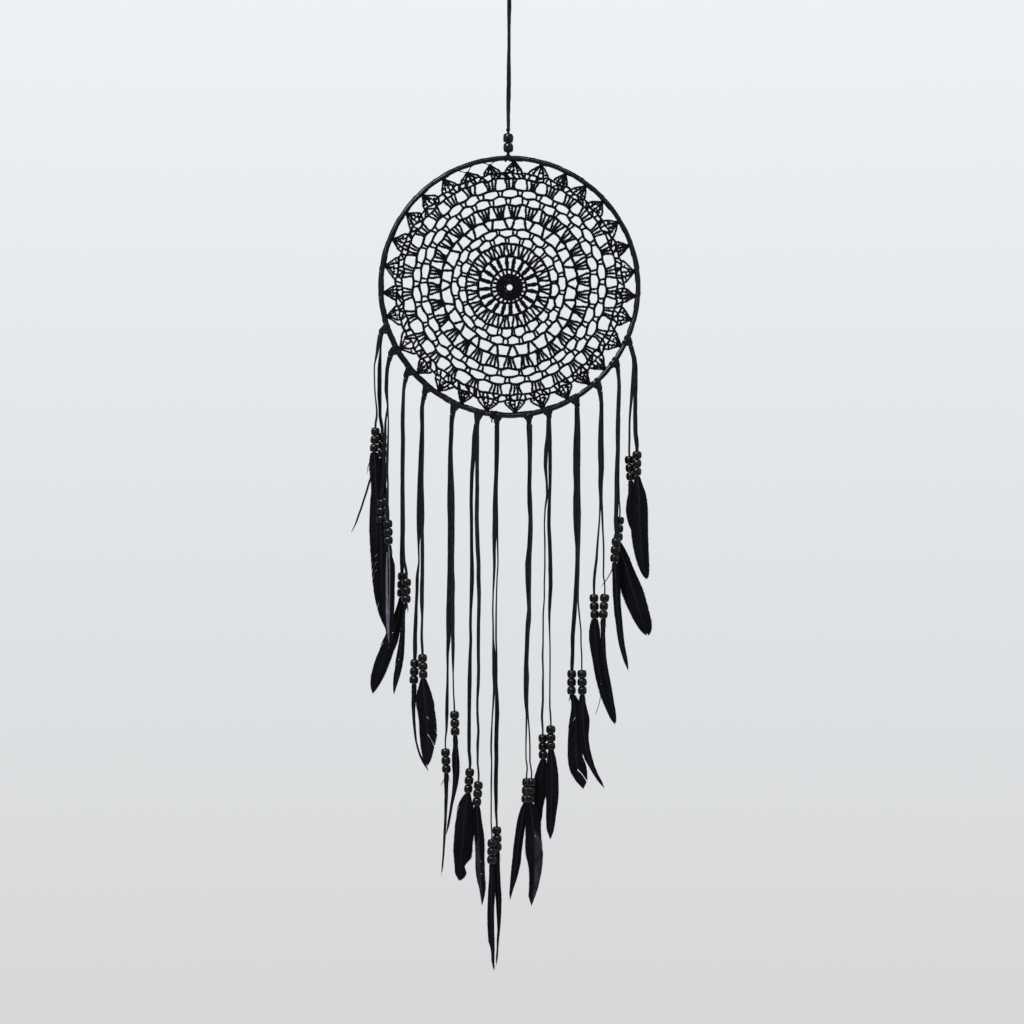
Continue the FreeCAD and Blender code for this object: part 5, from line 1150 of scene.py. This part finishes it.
def feather(key, left, tip, right, pale=False, seed=0):
    rng = np.random.default_rng(seed)
    L = np.array([pxp(p) for p in left])
    R = np.array([pxp(p) for p in right])[::-1]
    tp = np.array(pxp(tip))
    end = np.array(TAILS[key][-1], float)
    along = unit(end - np.array(TAILS[key][-2], float))
    y0 = end[1]
    sign = 1.0 if y0 > 0 else -1.0
    top = max(L[0, 1], R[0, 1])
    bot = tp[1]
    zz = np.linspace(top, bot, 90)

    def soft(E):
        z, x = np.append(E[:, 1], tp[1])[::-1], np.append(E[:, 0], tp[0])[::-1]
        x = np.interp(zz, z, x)
        n = 5
        ker = np.hanning(n) / np.hanning(n).sum()
        return np.convolve(np.pad(x, n // 2, "edge"), ker, "valid")

    xl, xr = soft(L), soft(R)
    Zup = zz[::-1]
    u = (top - zz) / (top - bot)
    # the shaft: a gentle curve near the middle, from the bead to the tip
    k = 0.5 + rng.uniform(-0.06, 0.06)
    mid = xl + k * (xr - xl)
    wgt = np.ones_like(u)
    wgt[0] = wgt[-1] = 30
    fit = np.polynomial.polynomial.polyfit(u, mid, 3, w=wgt)
    midf = np.polynomial.polynomial.polyval(u, fit)
    midf = np.clip(midf, xl + 0.25 * (xr - xl), xr - 0.25 * (xr - xl))
    ker = np.hanning(11) / np.hanning(11).sum()
    midf = np.convolve(np.pad(midf, 5, "edge"), ker, "valid")
    bend = rng.uniform(0.3, 1.5) * (1 if seed % 2 else -1)
    yy = y0 + bend * u**2
    stem = [end - along * 1.0, end + along * 1.6, end + along * 3.6]
    gap = [np.array([stem[-1][0] + (midf[2] - stem[-1][0]) * q, y0, stem[-1][2] + (zz[2] - stem[-1][2]) * q])
           for q in ((0.33, 0.66) if stem[-1][2] - zz[2] > 4 else ())]
    shaft = np.array([*stem, *gap, *[(midf[i], yy[i], zz[i]) for i in range(2, 90)]])
    keep = [0]
    for i in range(1, len(shaft)):
        if shaft[i][2] < shaft[keep[-1]][2] - 0.5:
            keep.append(i)
    shaft = smooth_path(shaft[keep], 1.2)
    frac = np.linspace(0, 1, len(shaft))
    m = Mesher()
    t, side, normal = frames(shaft, (1, 0, 0))
    rad = 0.6 * (1 - frac) ** 0.8 + 0.07
    m.rings(round_rings(shaft, side, normal, rad, 8), mat=1)
    sz, sx, sy = shaft[::-1, 2], shaft[::-1, 0], shaft[::-1, 1]

    def on_shaft(z):
        z = min(z, sz[-1] - 4.2)
        return np.array([np.interp(z, sz, sx), np.interp(z, sz, sy), z])

    for hand, edge in ((-1, xl), (1, xr)):
        E_up = edge[::-1]
        ends = np.arange(top - 0.3, bot + 0.2, -0.55)
        breaks = [-DROP + (286.9 - y) * PX for h, y in PARTED.get(key, ()) if h == hand]
        group = np.array([sum(ze < b for b in breaks) for ze in ends])
        lean = np.zeros(len(ends))
        for b in breaks:
            d = ends - b
            lean += np.where(d > 0, 0.5 * np.exp(-np.abs(d) / 1.2), -0.4 * np.exp(-np.abs(d) / 1.2))
        # barbs cling in clumps, each a touch longer or shorter than the next
        short = np.ones(len(ends))
        i = 0
        while i < len(ends):
            c = int(rng.integers(5, 18))
            short[i:i + c] = 1 - rng.uniform(0, 0.035)
            i += c
        short = np.convolve(np.pad(short, 1, "edge"), (0.25, 0.5, 0.25), "valid")
        # barbs low on these sides get the painted sheen, a lighter colour standing in for a highlight
        painted_sheen_mat = 2 if (key, hand) in PAINTED_SHEEN_SIDES else 0
        for g in sorted(set(group.tolist())):
            rows = []
            for i in np.nonzero(group == g)[0]:
                ze = ends[i]
                ze2 = ze + lean[i]
                ex = np.interp(ze, Zup, E_up)
                cx = np.interp(ze, sz, sx)
                w = (ex - cx) * hand
                if w < 0.2:
                    continue
                w *= short[i]
                ragged = w * rng.uniform(0.98, 1.025)
                sweep = min(1.7 * w + 1.2, 15.0)
                zs = min(ze2 + sweep, top + 2.5)
                S = on_shaft(zs)
                cam = 0.8 * min(1.0, w / 6.0)
                E = np.array([cx + hand * w, np.interp(ze2, sz, sy) + sign * cam * 0.6, ze2])
                Cc = np.array([S[0] + (E[0] - S[0]) * 0.58, S[1] * 0.5 + E[1] * 0.5 - sign * cam * 0.35,
                               S[2] + (E[2] - S[2]) * 0.38])
                q = np.linspace(0, 1, 7)[:, None]
                line = (1 - q) ** 2 * S + 2 * q * (1 - q) * Cc + q**2 * E
                if w > 0.5:
                    rows.append(np.concatenate([line[:-1], [line[-2] * 0.25 + line[-1] * 0.75]]))
                # the barb itself, a fine ridge that runs a little past the vane's edge
                over = 1 + (ragged - w) / max(w, 0.6) + rng.uniform(-0.01, 0.025)
                b = S + (line - S) * over
                b[:, 1] += rng.uniform(-0.05, 0.05)
                t = unit(np.gradient(b, axis=0))
                flat = unit(np.cross(t, (0, 1, 0)))
                half = np.array([0.2, 0.3, 0.32, 0.31, 0.27, 0.2, 0.05]) * rng.uniform(0.9, 1.1)
                thin = np.array([0.13, 0.125, 0.12, 0.11, 0.1, 0.07, 0.02])
                nn = np.cross(flat, t)
                tilt = 0.3 * hand
                f2 = flat * math.cos(tilt) + nn * math.sin(tilt)
                n2 = nn * math.cos(tilt) - flat * math.sin(tilt)
                rings = np.empty((7, 4, 3))
                rings[:, 0] = b + f2 * half[:, None]
                rings[:, 1] = b + n2 * thin[:, None]
                rings[:, 2] = b - f2 * half[:, None]
                rings[:, 3] = b - n2 * thin[:, None]
                m.rings(rings, mat=painted_sheen_mat if ze < top - 30 else 0)
            # the vane between the barbs: a thin closed web
            if len(rows) > 2:
                rows = np.array(rows)
                th_ = np.array([0, 0.055, 0])
                m.rings(np.concatenate([rows + th_, (rows - th_)[:, ::-1]], 1))
    if pale:
        # the shaft's broad pale back, down the front of the vane
        strip = smooth_path([(*pxp(p), 0) for p in ((387.6, 552), (387.4, 575), (387.8, 600), (388.4, 622), (389.6, 643))], 0.8)
        back = np.stack([strip[:, 0], np.interp(strip[:, 1], sz, sy) - 0.75, strip[:, 1]], 1)
        u_ = np.linspace(0, 1, len(back))
        t, side, normal = frames(back, (1, 0, 0))
        m.rings(ribbon_rings(back, side, normal, np.interp(u_, [0, 0.3, 0.65, 0.85, 1], [0.9, 1.7, 2.5, 1.9, 0.25]), 0.4, 0.05, 4), mat=1)
    # down at the base
    for i in range(26):
        S = on_shaft(top + rng.uniform(-3.0, 2.0))
        a = rng.choice([-1, 1]) * rng.uniform(0.4, 0.9)
        ln = rng.uniform(3.0, 7.0)
        E = S + np.array([a * ln * 0.5, rng.uniform(-0.8, 0.8), -ln * rng.uniform(0.6, 1.0)])
        Cc = (S + E) / 2 + np.array([a * 1.2, rng.uniform(-0.5, 0.5), 0.7])
        q = np.linspace(0, 1, 8)[:, None]
        line = (1 - q) ** 2 * S + 2 * q * (1 - q) * Cc + q**2 * E
        t, side, normal = frames(line, (0, 1, 0))
        m.rings(round_rings(line, side, normal, np.linspace(0.17, 0.05, 8), 4))
    for path, r0 in WISPS.get(key, ()):
        pts = [(*pxp(p), 0) for p in path]
        line = smooth_path([(x, y0 + 0.6 * sign + 0.3 * i, z) for i, (x, z, _) in enumerate(pts)], 0.8)
        t, side, normal = frames(line, (0, 1, 0))
        thick = r0 * np.interp(np.linspace(0, 1, len(line)), [0, 0.8, 1], [1, 0.85, 0.2])
        m.rings(round_rings(line, side, normal, thick, 8), mat=1)
    return m.object("feather_" + key, [M_VANE, M_PALE if pale else M_RACHIS, M_PAINTED_SHEEN])


# Stray barbs and bare shafts that stand away from the vane.
WISPS = {
    "01a": [([(373.5, 466), (371.5, 475), (368.5, 484), (366.2, 492), (363.5, 500), (361, 508), (358, 516), (355.2, 524), (350.9, 532.5)], 0.85),
            ([(373, 455), (369.5, 461), (367.6, 470)], 0.22), ([(372, 457), (367.8, 466), (366.8, 475)], 0.2),
            ([(372, 462), (368.6, 470), (366.2, 473)], 0.18)],
    "05b": [([(446, 776), (443, 782), (440.3, 787)], 0.3)],
    "06a": [([(468.5, 797), (463, 806), (457.5, 813)], 0.35)],
    "06b": [([(477.5, 872), (480, 868), (484, 876), (486.6, 884)], 0.25)],
    "07b": [([(494.3, 964), (495.4, 969)], 0.2)],
    "11a": [([(601, 696), (599, 705), (595.4, 716)], 0.3)],
    "12b": [([(613.5, 566), (608, 577), (600.8, 587)], 0.4)],
}

feather_obs = {}
for n, key in enumerate(sorted(FEATHER_PX)):
    left, tip, right = FEATHER_PX[key]
    feather_obs[key] = feather(key, left, tip, right, pale=(key == "02b"), seed=n + 1)

# ------------------------------------------------------------------ bodies
for key, (lace, line) in CORDS.items():
    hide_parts("tail_" + key)
    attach(lace, "tassel_" + key[:2])
    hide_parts("beads_" + key[:2])
    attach(bead_obs[key], "tassel_" + key[:2])
    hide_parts("feathers_" + key[:2])
    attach(feather_obs[key], "tassel_" + key[:2])
for ob, node, slot_name in ((hanger, "hanger_cord", "suede_lace"), (hang_knot, "hanger_knot", "suede_lace"),
                            (hang_beads, "hanger_beads", "bead")):
    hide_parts(node)
    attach(ob, "hanger")
for ob, node, body, slot_name in ((loop_ob, "hanging_loop", "loop", "suede_lace"),
                                  (tape, "hoop_wrap", "hoop", "suede_wrap"),
                                  (web_ob, "crochet_web", "hoop", "yarn"),
                                  (tie_ob, "crochet_web", "hoop", "yarn"),
                                  (knots_ob, "lark_head_knots", "hoop", "suede_lace")):
    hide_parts(node)
    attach(ob, body)
ring_ob = bpy.data.objects["hoop_ring"]
ring_ob.data.materials.clear()
ring_ob.data.materials.append(M_STEEL)

# a plain floor, well below and out of the main view
m = Mesher()
a = np.linspace(0, TAU, 65)[:-1]
disc = np.stack([np.stack([np.cos(a) * r, np.sin(a) * r - 60, np.full(64, z)], 1)
                 for r, z in ((560, -1006), (560, -1000))], 0)
m.rings(disc)
floor = m.object("floor", [M_FLOOR])
floor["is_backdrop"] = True

low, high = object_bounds()
